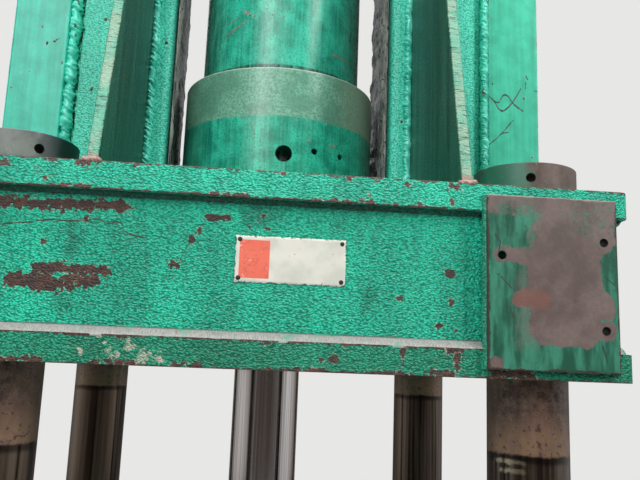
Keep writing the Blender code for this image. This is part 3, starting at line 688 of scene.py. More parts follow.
def pad_finish():
    """Worn primer over the pad's middle, soft-edged, with mottled remains of green enamel round it."""
    material, place = begin("pad_primer")
    fray = (grain(place, 0.030, 3.0) - 0.5) + (grain(place, 0.008, 4.0, 0.65) - 0.5) * 0.8
    cloud = grain(place, 0.05, 4.0, 0.6)
    speck = grain(place, 0.0075, 4.0, 0.7)
    green = tint(upright_runs(place, 0.016, 0.07), (0.007, 0.076, 0.045), (0.040, 0.210, 0.136))
    green = tint(step(speck, 0.60, 0.70), green, (0.030, 0.060, 0.045))
    brown = tint(step(cloud, 0.35, 0.65), (0.096, 0.067, 0.060), (0.163, 0.118, 0.106))
    brown = tint(step(speck, 0.30, 0.60) * 0.25, brown, (0.070, 0.052, 0.047))

    def area(x, z, half_x, half_z, corner, reach, soft):
        centre, half, round_off, _ = face_mark(x, z, half_x, half_z, 0, pad_front, corner)
        return missing_patch(place, centre, half, round_off, fray, reach, soft)[0]

    brown = tint(area(352, 1612, 27, 12, 11, 0.022, 0.006) * 0.55, brown, (0.190, 0.066, 0.048))
    bare = most(*(area(*row, 0.016, 0.0012) for row in pad_bare_areas),
                area(345, 1600, 16, 48, 12, 0.04, 0.014) * 0.55)
    left_over = area(326, 1715, 34, 32, 20, 0.050, 0.010) * step(speck, 0.40, 0.54)
    sprinkled = area(440, 1728, 42, 26, 14, 0.040, 0.012) * step(speck, 0.53, 0.60)
    bare = maths("SUBTRACT", bare, most(left_over, sprinkled) * 0.85, clamp=True)
    cracks = most(*(scratch(place, *mark, fray) for places in pad_cracks
                    for mark in line_marks(places, pad_front, 0.0009)))
    edge = edge_wear(place, (pad_low + pad_high) / 2, (pad_high - pad_low) / 2, 0.0028, fray, 0.009)
    rim_brown = tint(step(axes(place)[2], pad_high[2] - 0.006, pad_high[2] - 0.002), (0.040, 0.026, 0.023),
                     (0.230, 0.165, 0.150))
    colour = tint(edge, tint(bare, green, brown), rim_brown)
    # Each hole is painted near-black inside: painted shade in the holes.
    for x, z in pad_hole_places:
        centre = (x * millimetre, pad_front + 0.012, z * millimetre)
        hole = missing_patch(place, centre, (0.0, 0.0105, 0.0), 0.0068)[0]
        colour = tint(hole, colour, (0.014, 0.012, 0.011))
    colour = tint(cracks, colour, (0.03, 0.03, 0.026))
    return settle(material, colour, scaled(bare, 0.12, 0.36), 0.0, (0.5, 0.0010, speck))


def oxide(name, colour=(0.025, 0.020, 0.018), roughness=0.6, metal=0.4, pitch=0.004, unevenness=0.35,
          relief=0.25):
    """Plain dark or bright steel with a fine mottle in its colour, gloss and surface."""
    material, place = begin(name)
    mottle = grain(place, pitch, 4.0, 0.6)
    dim, pale = (np.minimum(1.0, share * np.array(colour)) for share in (1.0 - unevenness, 1.0 + unevenness))
    rough = scaled(mottle, 0.8 * unevenness, roughness - 0.4 * unevenness)
    return settle(material, tint(step(mottle, 0.3, 0.7), dim, pale), rough, metal, (relief, 0.0006, mottle))


dress_eased("corner_pad", 0.0012, pad_finish(), slot="bare_primer")
# Near-black plugs a little way down two of the holes: painted shade in their depth.
painted_hole_shade = oxide("painted_hole_shade", (0.012, 0.010, 0.009), 0.6, 0.0)
plug_turn = full_turn(32)
plug_radius = 0.0058
for number, (x, z) in enumerate(pad_hole_places[1:]):
    plug_x = x * millimetre + plug_radius * np.cos(plug_turn)
    plug_z = z * millimetre + plug_radius * np.sin(plug_turn)
    plug_rings = [np.column_stack([plug_x, np.full(32, pad_high[1] - depth), plug_z])
                  for depth in (0.006, 0.002)]
    dress(solid("hole_plug_%d" % number, np.stack(plug_rings), None), painted_hole_shade, slot="bare_primer")
for (side_name, out), x in zip(sides, (pad_low[0], pad_high[0])):
    corner = [(x, pad_high[1], z) for z in (pad_low[2], pad_high[2])]
    seam("pad_" + side_name + "_seam", corner, (out, 0, 0), front_out, 0.004, 0.006, 0.001, 0.0004, 15 + out,
         slot="bare_primer")


# Nameplate: a thin riveted plate, a third of it plain red and the rest plain pale, with enamel from
# the last repaint on its edges. It carries no words.
plate_low, plate_high = box("nameplate")
plate_middle = (plate_low + plate_high) / 2
plate_half = (plate_high - plate_low) / 2
rivet_inset = 0.006
rivet_radius = 0.0034
rivet_rise = 0.0011
sheet_thickness = 0.0015
red_share = 0.31


def nameplate_sheet():
    """The plate: a grid whose front is bowed by 0.4 mm and whose rim is turned back to the web."""
    across = np.linspace(plate_low[0], plate_high[0], 90)
    up = np.linspace(plate_low[2], plate_high[2], 40)
    x, z = np.meshgrid(across, up, indexing="ij")
    side_gap = np.minimum(x - plate_low[0], plate_high[0] - x)
    rim = np.minimum(side_gap, np.minimum(z - plate_low[2], plate_high[2] - z))
    bow = 0.0004 * np.sin((x - plate_low[0]) * 55.0) * np.sin((z - plate_low[2]) * 70.0)
    front = plate_high[1] - sheet_thickness * np.clip(rim / 0.0008, 0.25, 1.0) - np.abs(bow)
    back = np.stack([x, np.full_like(x, plate_high[1]), z], axis=-1)[:, ::-1]
    return solid("nameplate_sheet", np.concatenate([np.stack([x, front, z], axis=-1), back], axis=1))


def nameplate_print():
    """Two plain fields of colour, faded, with chips, rust and specks of green enamel at the rim."""
    material, place = begin("plate_print")
    fine = grain(place, 0.006, 4.0, 0.7)
    border = plate_low[0] + red_share * (plate_high[0] - plate_low[0])
    left = step(axes(place)[0], border + 0.0002, border - 0.0002)
    field, kept = (
        missing_patch(place, plate_middle, plate_half - (inset, -0.01, inset), 0.0, fine - 0.5, reach)[0]
        for inset, reach in ((0.0062, 0.001), (0.0008, 0.012)))
    red = tint(step(fine, 0.52, 0.62), (0.80, 0.16, 0.10), (0.68, 0.13, 0.09))
    red = tint(step(grain(place, 0.004), 0.66, 0.72), red, (0.75, 0.55, 0.47))
    cream = tint(step(grain(place, 0.03, 3.0), 0.35, 0.7), (0.71, 0.70, 0.62), (0.58, 0.59, 0.52))
    colour = tint(left * field, cream, red)
    colour = tint(maths("SUBTRACT", 1.0, kept), colour, (0.03, 0.20, 0.13))
    colour = tint(step(grain(place, 0.009, 3.0), 0.68, 0.72) * 0.7, colour, (0.25, 0.17, 0.12))
    return settle(material, colour, 0.42, 0.1, (0.3, 0.0004, fine))


plate_print = nameplate_print()
dress(nameplate_sheet(), plate_print, "nameplate", slot="plate_print")
rivet_black = oxide("rivet_oxide")
rivet_lift = np.linspace(0.0, math.pi / 2, 7)[:-1, None]
rivet_turn = full_turn(20)
for column_sign in (-1, 1):
    for row_sign in (-1, 1):
        x = plate_middle[0] + column_sign * (plate_half[0] - rivet_inset)
        z = plate_middle[2] + row_sign * (plate_half[2] - rivet_inset)
        front = plate_high[1] - sheet_thickness - rivet_rise * np.sin(rivet_lift)
        ring = rivet_radius * np.cos(rivet_lift)
        dome = np.stack([x + ring * np.cos(rivet_turn), np.broadcast_to(front, (6, 20)),
                         z + ring * np.sin(rivet_turn)], axis=-1)
        rivet = solid("rivet_%d%d" % (column_sign + 1, row_sign + 1), dome)
        dress(rivet, rivet_black, slot="machined_steel")


# Columns: polished steel bars under brown rust and oil. Down to a tide line they are dull and
# scaled, and below it the sliding bushes keep them smooth and streaky.
column_tides = {"front_left": 1.392, "front_right": 1.396, "rear_left": 1.445, "rear_right": 1.448}
near_scale = ((0.030, 0.018, 0.014), (0.150, 0.098, 0.076))
far_scale = ((0.055, 0.035, 0.022), (0.19, 0.15, 0.11))
front_drips = [((x, -0.380, z), (half, 0.03, 0.0012), 0.0018)
               for x, z, half in ((0.364, 1.384, 0.030), (0.362, 1.372, 0.026))]
column_radius = 0.060
shoulder_radius = 0.0786


def eased_outline(outline, ease, closed):
    """Round an outline's corners: each gives way to the curve (1-t)^2 a + 2t(1-t) corner + t^2 b,
    where a and b lie `ease` before and after the corner, or at 45% of the shorter side beside it."""
    corners = np.asarray(outline, float)
    back = np.roll(corners, 1, axis=0) - corners
    ahead = np.roll(corners, -1, axis=0) - corners
    back_length = np.linalg.norm(back, axis=1, keepdims=True)
    ahead_length = np.linalg.norm(ahead, axis=1, keepdims=True)
    reach = np.minimum(ease, 0.45 * np.minimum(back_length, ahead_length))
    start = corners + back / back_length * reach
    end = corners + ahead / ahead_length * reach
    share = np.linspace(0.0, 1.0, 5)[None, :, None]
    curve = ((1 - share) ** 2 * start[:, None] + 2 * share * (1 - share) * corners[:, None]
             + share ** 2 * end[:, None])
    if closed:
        return curve.reshape(-1, 2)
    return np.concatenate([corners[:1], curve[1:-1].reshape(-1, 2), corners[-1:]])


def turned(name, profile, ease, steps, closed=False, centre=(0.0, 0.0)):
    """Turn (radius, height) points about an upright axis.

    Ring i has radius r_i, and its point j stands at the angle 2 pi j / steps. A closed profile is a
    ring's section, and an open one is closed by a flat face at each end.
    """
    section = eased_outline(profile, ease, closed)
    angle = full_turn(steps)
    radius, height = section[:, 0:1], section[:, 1:2]
    rings = np.stack([centre[0] + radius * np.cos(angle), centre[1] + radius * np.sin(angle),
                      np.broadcast_to(height, (len(section), steps))], axis=-1)
    return solid(name, rings, loop=closed)


def column_finish(name, tide, scale_dark, scale_light, flecks, drips):
    """Rusty scale over the tide line, with flecks, and oily drawn-out streaks under it. Drips are
    (centre, half, corner) patches of dried cream-coloured oil."""
    material, place = begin(name)
    level = scaled(grain(place, 0.05, 3.0), 0.010, axes(place)[2])
    over = step(level, tide, tide + 0.006)
    ring = step(level, tide - 0.012, tide - 0.004) * step(level, tide + 0.004, tide)
    mottle = grain(place, 0.012, 5.0, 0.7)
    scale = tint(step(mottle, 0.38, 0.64), scale_dark, scale_light)
    scale = tint(upright_runs(place, 0.05, 0.12) * 0.50, scale, (0.240, 0.135, 0.100))
    golden = step(level, tide + 0.070, tide + 0.015) * step(mottle, 0.64, 0.40)
    scale = tint(golden * 0.55, scale, (0.330, 0.200, 0.110))
    scale = tint(step(grain(place, 0.0035, 3.0), 0.62, 0.70) * flecks, scale, (0.30, 0.25, 0.20))
    scale = tint(step(grain(place, 0.006, 3.0), 0.60, 0.66) * 0.7, scale, (0.028, 0.012, 0.009))
    streak = upright_runs(place, 0.008, 0.5)
    oil = tint(streak, (0.016, 0.012, 0.010), (0.130, 0.104, 0.088))
    oil = tint(upright_runs(place, 0.05, 2.5) * 0.5, oil, (0.20, 0.145, 0.105))
    colour = tint(ring * 0.8, tint(over, oil, scale), (0.02, 0.016, 0.014))
    for centre, half, corner in drips:
        dried = missing_patch(place, centre, half, corner, mottle - 0.5, 0.011, 0.0020)[0]
        colour = tint(dried * 0.75, colour, (0.36, 0.32, 0.23))
    rough = scaled(over, 0.16, scaled(streak, 0.12, 0.14))
    relief = mottle * scaled(over, 0.9, 0.1)
    return settle(material, colour, rough, scaled(over, -0.65, 0.95), (0.35, 0.0008, relief))


bed_plate_low, bed_plate_high = box("bed_top_plate")
shoulder_low = bed_plate_high[2] - 0.0047
shoulder_high = shoulder_low + 0.045
nut_high = bed_plate_low[2] - 0.0003
nut_low = nut_high - 0.060
for corner, tide in column_tides.items():
    low, high = box("column_" + corner)
    seen_drips = corner == "front_right"
    finish = column_finish("column_steel_" + corner, tide, *(near_scale if "front" in corner else far_scale),
                           0.30 if seen_drips else 0.15, front_drips if seen_drips else ())
    bar = turned("column_bar_" + corner, [
        (column_radius - 0.004, high[2]), (column_radius, high[2] - 0.004), (column_radius, shoulder_high),
        (shoulder_radius, shoulder_high), (shoulder_radius, shoulder_low), (column_radius, shoulder_low),
        (column_radius, nut_high), (shoulder_radius, nut_high), (shoulder_radius, nut_low),
        (column_radius, nut_low), (column_radius, low[2])], 0.0015, 128, centre=(low + high)[:2] / 2)
    dress(bar, finish, "column_" + corner, slot="column_steel")


# Ring nuts: thick turned nuts that hold the crosshead on the column ends, each with a tommy-bar hole
# to the outside. The right one is worn to brown primer, with green left on its inner half.
fit = 0.0003
tommy_radius = 0.0072
tommy_rise = 0.0213
primer_nut = ((0.080, 0.052, 0.044), (0.132, 0.090, 0.077))
nut_green = (0.020, 0.13, 0.085)
nut_looks = {
    "front_right": (-14.5, *primer_nut, (0.335, -0.415, 1.790), nut_green),
    # The front left nut is grey with a dark patch; the others are brown primer with green left round one
    # place.
    "front_left": (32.6, (0.098, 0.108, 0.098), (0.165, 0.180, 0.162), (-0.318, -0.395, 1.795),
                   (0.016, 0.024, 0.026)),
    "rear_left": (147.4, *primer_nut, (-0.430, 0.420, 1.790), nut_green),
    "rear_right": (194.5, *primer_nut, (0.420, 0.430, 1.790), nut_green),
}


def bored(piece, holes):
    """Drill round holes into a piece. Each hole is (centre, direction, radius, length)."""
    cutters = []
    for centre, direction, radius, length in holes:
        axis = np.array(direction, float) / np.linalg.norm(direction)
        side = np.cross(axis, (0.0, 0.0, 1.0))
        side /= np.linalg.norm(side)
        angle = full_turn(48)[:, None]
        circle = radius * (np.cos(angle) * side + np.sin(angle) * np.cross(axis, side))
        half = axis * length / 2
        cutters.append(solid("bore", np.stack([centre - half + circle, centre + half + circle]), None))
        drilling = piece.modifiers.new("bore", "BOOLEAN")
        drilling.object = cutters[-1]
        drilling.operation = "DIFFERENCE"
    piece.modifiers.remove(piece.modifiers["flat_faces"])
    evaluated = piece.evaluated_get(bpy.context.evaluated_depsgraph_get())
    cut_mesh = bpy.data.meshes.new_from_object(evaluated)
    piece.modifiers.clear()
    piece.data = cut_mesh
    for cutter in cutters:
        bpy.data.objects.remove(cutter)
    smooth(piece)


def nut_finish(name, base_dark, base_light, patch_centre, patch_colour):
    """Worn primer with a turned grain, and a patch of another colour round one place."""
    material, place = begin(name)
    cloud = grain(place, 0.03, 4.0, 0.65)
    colour = tint(step(cloud, 0.35, 0.65), base_dark, base_light)
    fray = grain(place, 0.02, 4.0) - 0.5
    rest = missing_patch(place, patch_centre, (0.010, 0.02, 0.012), 0.024, fray, 0.04, 0.009)[0]
    colour = tint(rest * 0.85, colour, patch_colour)
    colour = tint(step(grain(place, 0.006, 3.0), 0.68, 0.74) * 0.5, colour, (0.20, 0.27, 0.22))
    return settle(material, colour, scaled(cloud, 0.3, 0.34), 0.15, (0.2, 0.0006, cloud))


for corner, (turn, *look) in nut_looks.items():
    low, high = box("ring_nut_" + corner)
    middle = (low + high) / 2
    swing = math.radians(turn)
    outward = np.array((math.sin(swing), -math.cos(swing), 0.0))
    nut = turned("ring_nut_body_" + corner, [
        (column_radius + fit, high[2]), (shoulder_radius, high[2]), (shoulder_radius, low[2]),
        (column_radius + fit, low[2])], 0.0014, 144, True, middle[:2])
    mouth = np.array((middle[0], middle[1], low[2] + tommy_rise - fit)) + outward * shoulder_radius
    bored(nut, [(mouth, outward, tommy_radius, shoulder_radius)])
    dress(nut, nut_finish("nut_primer_" + corner, *look), "ring_nut_" + corner, slot="bare_primer")


# Cylinder: a long turned barrel in smooth green enamel, its screwed-on end cap, and a thick collar
# that stands on the crosshead, with the oil port and two tapped holes in front.
smooth_dark = (0.003, 0.230, 0.145)
smooth_light = (0.026, 0.490, 0.325)
barrel_low, barrel_high = box("cylinder_barrel")
collar_low, collar_high = box("cylinder_collar")
barrel_radius = 0.161
collar_radius = 0.192
bore_radius = 0.125
flange_top = barrel_low[2] + 0.038
port_height = 1882.6
port_radius = 0.015
port_turn = 2.0
tapped_height = 1892.9
tapped_turns = (19.0, 36.0)
tapped_radius = 0.006
tapped_depth = 0.022
tapped_middle = collar_radius - tapped_depth / 2
collar_tide = 1.952


def round_place(turn, height_mm, radius):
    """A point on the cylinder, `turn` degrees from the front towards +X."""
    swing = math.radians(turn)
    return (radius * math.sin(swing), -radius * math.cos(swing), height_mm * millimetre)


def round_marks(fray, radius, rows):
    """Small patches on the cylinder, each (turn, height, half), in degrees and millimetres."""
    return [(round_place(turn, height, radius), (half_mm * millimetre / 2,) * 3, half_mm * millimetre / 2,
             fray * millimetre) for turn, height, half_mm in rows]


def round_lines(radius, rows):
    """Scratches on the cylinder, each (width, place, place, ...) with places of (turn, height)."""
    return [(round_place(*start, radius), round_place(*end, radius), width)
            for width, *places in rows for start, end in zip(places, places[1:])]


def cylinder_finish(name, gloss, bands, chips, scratches, grime_and_shade, tide=None):
    """Smooth enamel with upright runs: narrow pale ones, broad dull ones, and fine pores. Over the
    tide, if there is one, the enamel is rubbed dull, and most of all to the right of the front."""
    def over(place, painted):
        colour = tint(upright_runs(place, 0.0045, 0.10) * bands, painted, (0.09, 0.50, 0.36))
        colour = tint(step(grain(place, 0.0036), 0.52, 0.64) * 0.55, colour, (0.006, 0.160, 0.098))
        if tide:
            x, y, z = axes(place)
            dull = step(scaled(grain(place, 0.14), 0.016, z), tide + 0.007, tide + 0.010)
            speckle = grain(place, 0.0042, 3.0, 0.7)
            worn = tint(step(speckle, 0.36, 0.64), (0.088, 0.250, 0.170), (0.215, 0.430, 0.310))
            worn = tint(step(grain(place, 0.07), 0.50, 0.62) * 0.6, worn, (0.085, 0.215, 0.150))
            colour = tint(dull * 0.92, colour, worn)
            rub = step(maths("ARCTAN2", x, y * -1.0), 0.45, 0.95)
            colour = tint(dull * rub * 0.7, colour, (0.30, 0.31, 0.23))
            # A pale band round the collar's top edge: a painted highlight on its chamfer.
            lip_highlight = step(z, collar_high[2] - 0.0035, collar_high[2] - 0.0015)
            colour = tint(lip_highlight * 0.7, colour, (0.50, 0.52, 0.45))
        return colour

    return enamel(name, smooth_dark, smooth_light, 0.0, gloss=gloss, glint=0.36, run_depth=0.30,
                  run_size=(0.007, 0.35), chips=chips, scratches=scratches, grime_and_shade=grime_and_shade,
                  under=(0.25, 0.21, 0.18), over=over)


def painted_side_shade(x, half_x, z, half_z, soft, strength):
    """Two darkened patches down the cylinder's left and right: painted shade on the sides that face the
    uprights.
    """
    return [((side * x, 0.0, z), (half_x, 0.2, half_z), 0.0, 0.02, soft, strength) for side in (-1, 1)]


barrel_chips = round_marks(2, barrel_radius, (
    (-13.5, 2177, 2.2), (0.6, 2174, 1.8), (-2.7, 2162, 1.6), (-9.3, 2165, 1.8), (-22, 2165, 3),
    (-27, 2172, 3.5), (-29, 2176, 3), (40, 2050, 1.2), (-40, 2010, 1.5), (5, 2260, 2.5), (60, 2330, 3),
    (-60, 2400, 3)))
barrel_lines = round_lines(barrel_radius, (
    (0.0034, (-44.1, 2136), (-35.5, 2147)), (0.0024, (-35.5, 2147), (-27.0, 2157)),
    (0.0022, (-44.8, 2159), (-35.5, 2166)), (0.0026, (34.8, 2107), (43.0, 2108)),
    (0.0030, (43.0, 2108), (51.7, 2104))))
collar_chips = round_marks(3, collar_radius, (
    (15.4, 1913, 2.2), (29.5, 1909, 3.0), (31.0, 1908.5, 2.6), (-22, 1949, 1.4), (8, 1948, 1.3),
    (25, 1952, 1.5), (-70, 1800, 4), (120, 1900, 5), (-140, 1990, 5), (170, 1850, 4)))
collar_lines = round_lines(collar_radius, (
    (0.0009, (-20.1, 1958), (-16.8, 1938), (-14.5, 1921), (-14.0, 1912.7)),
    (0.0009, (2.0, 1867), (2.0, 1845))))
hole_shade = [(round_place(port_turn, port_height, 0.177), (0.0, 0.020, 0.0), port_radius + 0.0007, 0.0,
               0.0004, 0.985)]
hole_shade += [(round_place(turn, tapped_height, tapped_middle), (0.003, 0.003, 0.0),
                tapped_radius + 0.0006, 0.0, 0.0004, 0.97) for turn in tapped_turns]
# Painted shade down the barrel's sides.
barrel_side_shade = painted_side_shade(0.180, 0.040, 2.2, 0.8, 0.035, 0.85)
# A dark band on the barrel just over the collar: painted shadow of the collar's top edge.
barrel_side_shade.append(((0.0, 0.0, collar_high[2] + 0.0098), (0.3, 0.3, 0.0098), 0.0, 0.0, 0.0018, 0.95))
barrel_enamel = cylinder_finish("barrel_enamel", 0.28, 0.45, barrel_chips, barrel_lines,
                                hole_shade + barrel_side_shade)
collar_enamel = cylinder_finish("collar_enamel", 0.30, 0.35, collar_chips, collar_lines,
                                hole_shade + painted_side_shade(0.210, 0.040, 1.9, 0.3, 0.040, 0.65), collar_tide)

barrel = turned("barrel_body", [
    (bore_radius, barrel_high[2]), (barrel_radius, barrel_high[2]), (barrel_radius, flange_top),
    (collar_radius, flange_top), (collar_radius, barrel_low[2]), (bore_radius, barrel_low[2])],
    0.0012, 192, True)
dress(barrel, barrel_enamel, "cylinder_barrel", slot="smooth_green")
collar = turned("collar_body", [
    (barrel_radius + fit, collar_high[2]), (collar_radius, collar_high[2]), (collar_radius, collar_low[2]),
    (barrel_radius + fit, collar_low[2])], 0.0022, 224, True)
holes = [(round_place(port_turn, port_height, 0.180), round_place(port_turn, 0.0, 1.0), port_radius, 0.05)]
holes += [(round_place(turn, tapped_height, tapped_middle + 0.005), round_place(turn, 0.0, 1.0),
           tapped_radius, tapped_depth + 0.010) for turn in tapped_turns]
bored(collar, holes)
dress(collar, collar_enamel, "cylinder_collar", slot="smooth_green")


# Uprights: a rounded square tube each side of the cylinder, with a flat-sided box welded outboard of
# it and a flame-cut gusset before and behind. The tubes' inner walls are grey, greasy and crusted.
tube_colours = ((0.018, 0.360, 0.245), (0.105, 0.790, 0.590))
# The slabs share one enamel, painted lighter on the left slab and darker on the right one: painted light and
# shade.
slab_colours = {"left": ((0.010, 0.400, 0.275), (0.034, 0.570, 0.420)),
                "right": ((0.030, 0.340, 0.215), (0.055, 0.500, 0.340))}
slab_front = -0.115
tube_inner = 0.211
bead_groove = 0.3915
gusset_inner = 0.256
gusset_slope = 0.27
gusset_foot = 1.7762
gusset_toe = 0.4595
slab_nicks = {
    "left": [face_mark(x, z, 1.6, 2.0, 4, slab_front) for x, z in (
        (-462, 2125), (-450, 2093), (-438, 2098), (-476, 2033), (-490, 2031), (-420, 2056), (-506, 2000))],
    "right": [face_mark(x, z, 1.4, 1.6, 3, slab_front) for x, z in (
        (485, 2051), (420, 2078), (500, 1930), (492, 1905))],
}
scribbles = (
    (((408, 2060), (420, 2045), (431, 2039), (437, 2046), (445, 2056), (453, 2052), (460, 2042), (474, 2030),
      (482, 2025)), slab_front, 0.0024),
    (((420, 2045), (426, 2037), (432, 2027), (439, 2022), (449, 2027), (460, 2040), (469, 2054),
      (478, 2071)), slab_front, 0.0026),
    (((408, 1946), (430, 1966), (438, 1974), (452, 1978)), slab_front, 0.0016),
)
slab_strokes = {
    side_name: [mark for places in strokes for mark in line_marks(places, slab_front, 0.0012)]
    for side_name, strokes in (
        ("left", (((-438, 2098), (-427, 2105)),)),
        ("right", (((438, 1974), (462, 2004)), ((489.5, 2099), (493.4, 2092)),
                   ((488.7, 2085), (488.6, 2071)), ((506, 2068.6), (513, 2069)))))
}
box_nicks = {
    "left": [face_mark(x, z, 2.0, 3.0, 5, -0.100) for x, z in (
        (-349, 2158), (-364, 2045), (-363, 2013), (-230, 2120))],
    "right": [face_mark(x, z, 1.5, 2.0, 4, -0.100) for x, z in ((350, 2200), (240, 1990))],
}


def upright_tube(name, node, corner_radius, wall):
    """A square tube: an outline with round corners, inside and outside, drawn up from foot to head."""
    low, high = box(node)
    angle = np.linspace(0.0, math.pi / 2, 9)
    shells = []
    for inset in (0.0, wall):
        radius = max(corner_radius - inset, 0.001)
        x0, y0 = low[:2] + inset + radius
        x1, y1 = high[:2] - inset - radius
        shells.append(np.concatenate([
            np.stack([x + radius * np.cos(angle + quarter * math.pi / 2),
                      y + radius * np.sin(angle + quarter * math.pi / 2)], axis=-1)
            for quarter, (x, y) in enumerate(((x1, y1), (x0, y1), (x0, y0), (x1, y0)))]))
    rings = np.stack([np.column_stack([shells[shell], np.full(len(shells[shell]), level)])
                      for shell, level in ((0, low[2]), (0, high[2]), (1, high[2]), (1, low[2]))])
    return solid(name, rings, 30.0, loop=True)


def tube_finish(side_name, side):
    """Hammered enamel on the tube, with the inner wall left as grey, streaked, pitted steel."""
    def over(place, painted):
        inward = axes(place)[0] * float(side)
        wall = step(inward, tube_inner + 0.003, tube_inner + 0.0005)
        # Painted shade: the rounded inner corner darkens towards the inner wall, where it turns away from
        # the light.
        corner_shade = step(inward, tube_inner + 0.0115, tube_inner + 0.0025) * 0.85
        painted = tint(corner_shade, painted, (0.006, 0.060, 0.040))
        # Painted shadow: a dark ragged line along the corner bead's inner edge on the tube's front, strong
        # on the left tube and faint on the right.
        ragged = step(upright_runs(place, 0.006, 0.025), 0.15, 0.65) * (1.0 if side < 0 else 0.3)
        bead_shadow = step(maths("ABSOLUTE", inward - bead_groove), 0.0036, 0.0016) * ragged
        painted = tint(bead_shadow, painted, (0.004, 0.030, 0.022))
        grey = tint(upright_runs(place, 0.018, 0.16), (0.050, 0.048, 0.044), (0.26, 0.28, 0.27))
        grey = tint(step(upright_runs(place, 0.005, 0.02), 0.80, 0.92), grey, (0.012, 0.010, 0.009))
        return tint(wall, painted, grey)

    return enamel("tube_enamel_" + side_name, *tube_colours, 0.25, run_depth=0.18,
                  chips=box_nicks[side_name], gloss=0.36, over=over)


def flame_cut(name, node, side):
    """A gusset: its outline is drawn through the plate's thickness, with the sloping edge rippled.

    Along the slope s and through the thickness t, the edge moves by a sum of sines of s, whose phase
    drags behind with t, as a cutting flame leaves it.
    """
    low, high = box(node)
    front = -1.0 if low[1] < 0 else 1.0
    heel, toe = (front * reach for reach in sorted(abs(np.array((low[1], high[1])))))
    share = np.linspace(0.0, 1.0, 520)
    along = share * (high[2] - low[2])
    seed = 40 + int(front) + 2 * side
    rings = []
    for depth, back in ((0.0, 0.0014), (0.10, 0.0), (0.35, 0.0), (0.65, 0.0), (0.90, 0.0), (1.0, 0.0014)):
        drag = along + 0.004 * depth ** 2
        ripple = (0.00035 * waves(drag, (0.0061, 0.0093, 0.0147), seed)
                  + 0.0010 * waves(drag, (0.075, 0.16), seed))
        notch = -0.0011 * np.clip(waves(drag, (0.021, 0.047, 0.113), seed + 9) - 0.62, 0, 1) / 0.38
        edge_y = toe - front * gusset_slope * along + front * (ripple + notch - back)
        rest = [[heel + front * back, high[2] - back], [heel + front * back, low[2]]]
        outline = np.concatenate([np.column_stack([edge_y, low[2] + along]), rest])
        x = low[0] + depth * (high[0] - low[0])
        rings.append(np.column_stack([np.full(len(outline), x), outline]))
    return solid(name, np.stack(rings), 50.0)


def gusset_finish(name, side, front):
    """Hammered enamel, pale on the flame-cut edge, and dark with streaks on the inner face: grease, and
    painted shade on a face turned away from the light.
    """
    def over(place, painted):
        x, y, z = axes(place)
        # The inner face is painted dark: grease, and painted shade.
        inner_face = step(x * float(side), gusset_inner + 0.0012, gusset_inner + 0.0002)
        grease_and_shade = tint(upright_runs(place, 0.02, 0.3), (0.010, 0.040, 0.028), (0.032, 0.110, 0.075))
        edge_reach = scaled(z - gusset_foot, gusset_slope, y * float(front))
        on_edge = step(edge_reach, gusset_toe - 0.0042, gusset_toe - 0.0030)
        drag = grain(value_of("Mapping", {"Vector": place, "Scale": (40.0, 90.0, 420.0)}), 1.0, 3.0)
        pale = tint(step(grain(place, 0.05, 3.0), 0.38, 0.62), (0.105, 0.345, 0.230), (0.245, 0.345, 0.245))
        pale = tint(step(drag, 0.56, 0.64), pale, (0.035, 0.080, 0.055))
        colour = tint(on_edge * 0.9, tint(inner_face, painted, grease_and_shade), pale)
        foot = step(scaled(grain(place, 0.012), 0.018, z), 1.800, 1.790)
        return tint(foot * on_edge, colour, (0.33, 0.20, 0.17))

    return enamel(name, *tube_colours, 0.25, over=over)


for side_name, side in sides:
    tube_node, slab_node = "upright_box_" + side_name, "upright_slab_" + side_name
    tube = upright_tube("tube_" + side_name, tube_node, 0.024, 0.010)
    dress(tube, tube_finish(side_name, side), tube_node)
    slab_enamel = enamel("slab_enamel_" + side_name, *slab_colours[side_name], 0.0, gloss=0.34,
                         shade_depth=0.6, run_depth=0.22, run_size=(0.012, 0.30),
                         chips=slab_nicks[side_name], scratches=slab_strokes[side_name],
                         lines=scribbles if side > 0 else (), edges=box(slab_node), edge_band=0.0012,
                         under=(0.03, 0.035, 0.03))
    slab = upright_tube("slab_" + side_name, slab_node, 0.004, 0.012)
    dress(slab, slab_enamel, slab_node, slot="smooth_green")
    for end, front in ends:
        node = "gusset_" + end + "_" + side_name
        dress(flame_cut(node + "_plate", node, side),
              gusset_finish("gusset_enamel_" + end + "_" + side_name, side, front), node)


# Upright welds: hand-laid beads. A coarse one fills the corner between box and tube, a finer one
# runs up beside the gusset, and small ones hold the feet to the crosshead.
upright_low, upright_high = box("upright_box_left")[:, 2]
slab_inner = 0.4113
gusset_thickness = 0.016
bead_seed = {"corner": 50, "gusset": 60, "gusset_foot": 66, "gusset_toe": 70, "tube_foot": 74,
             "slab_foot": 78}


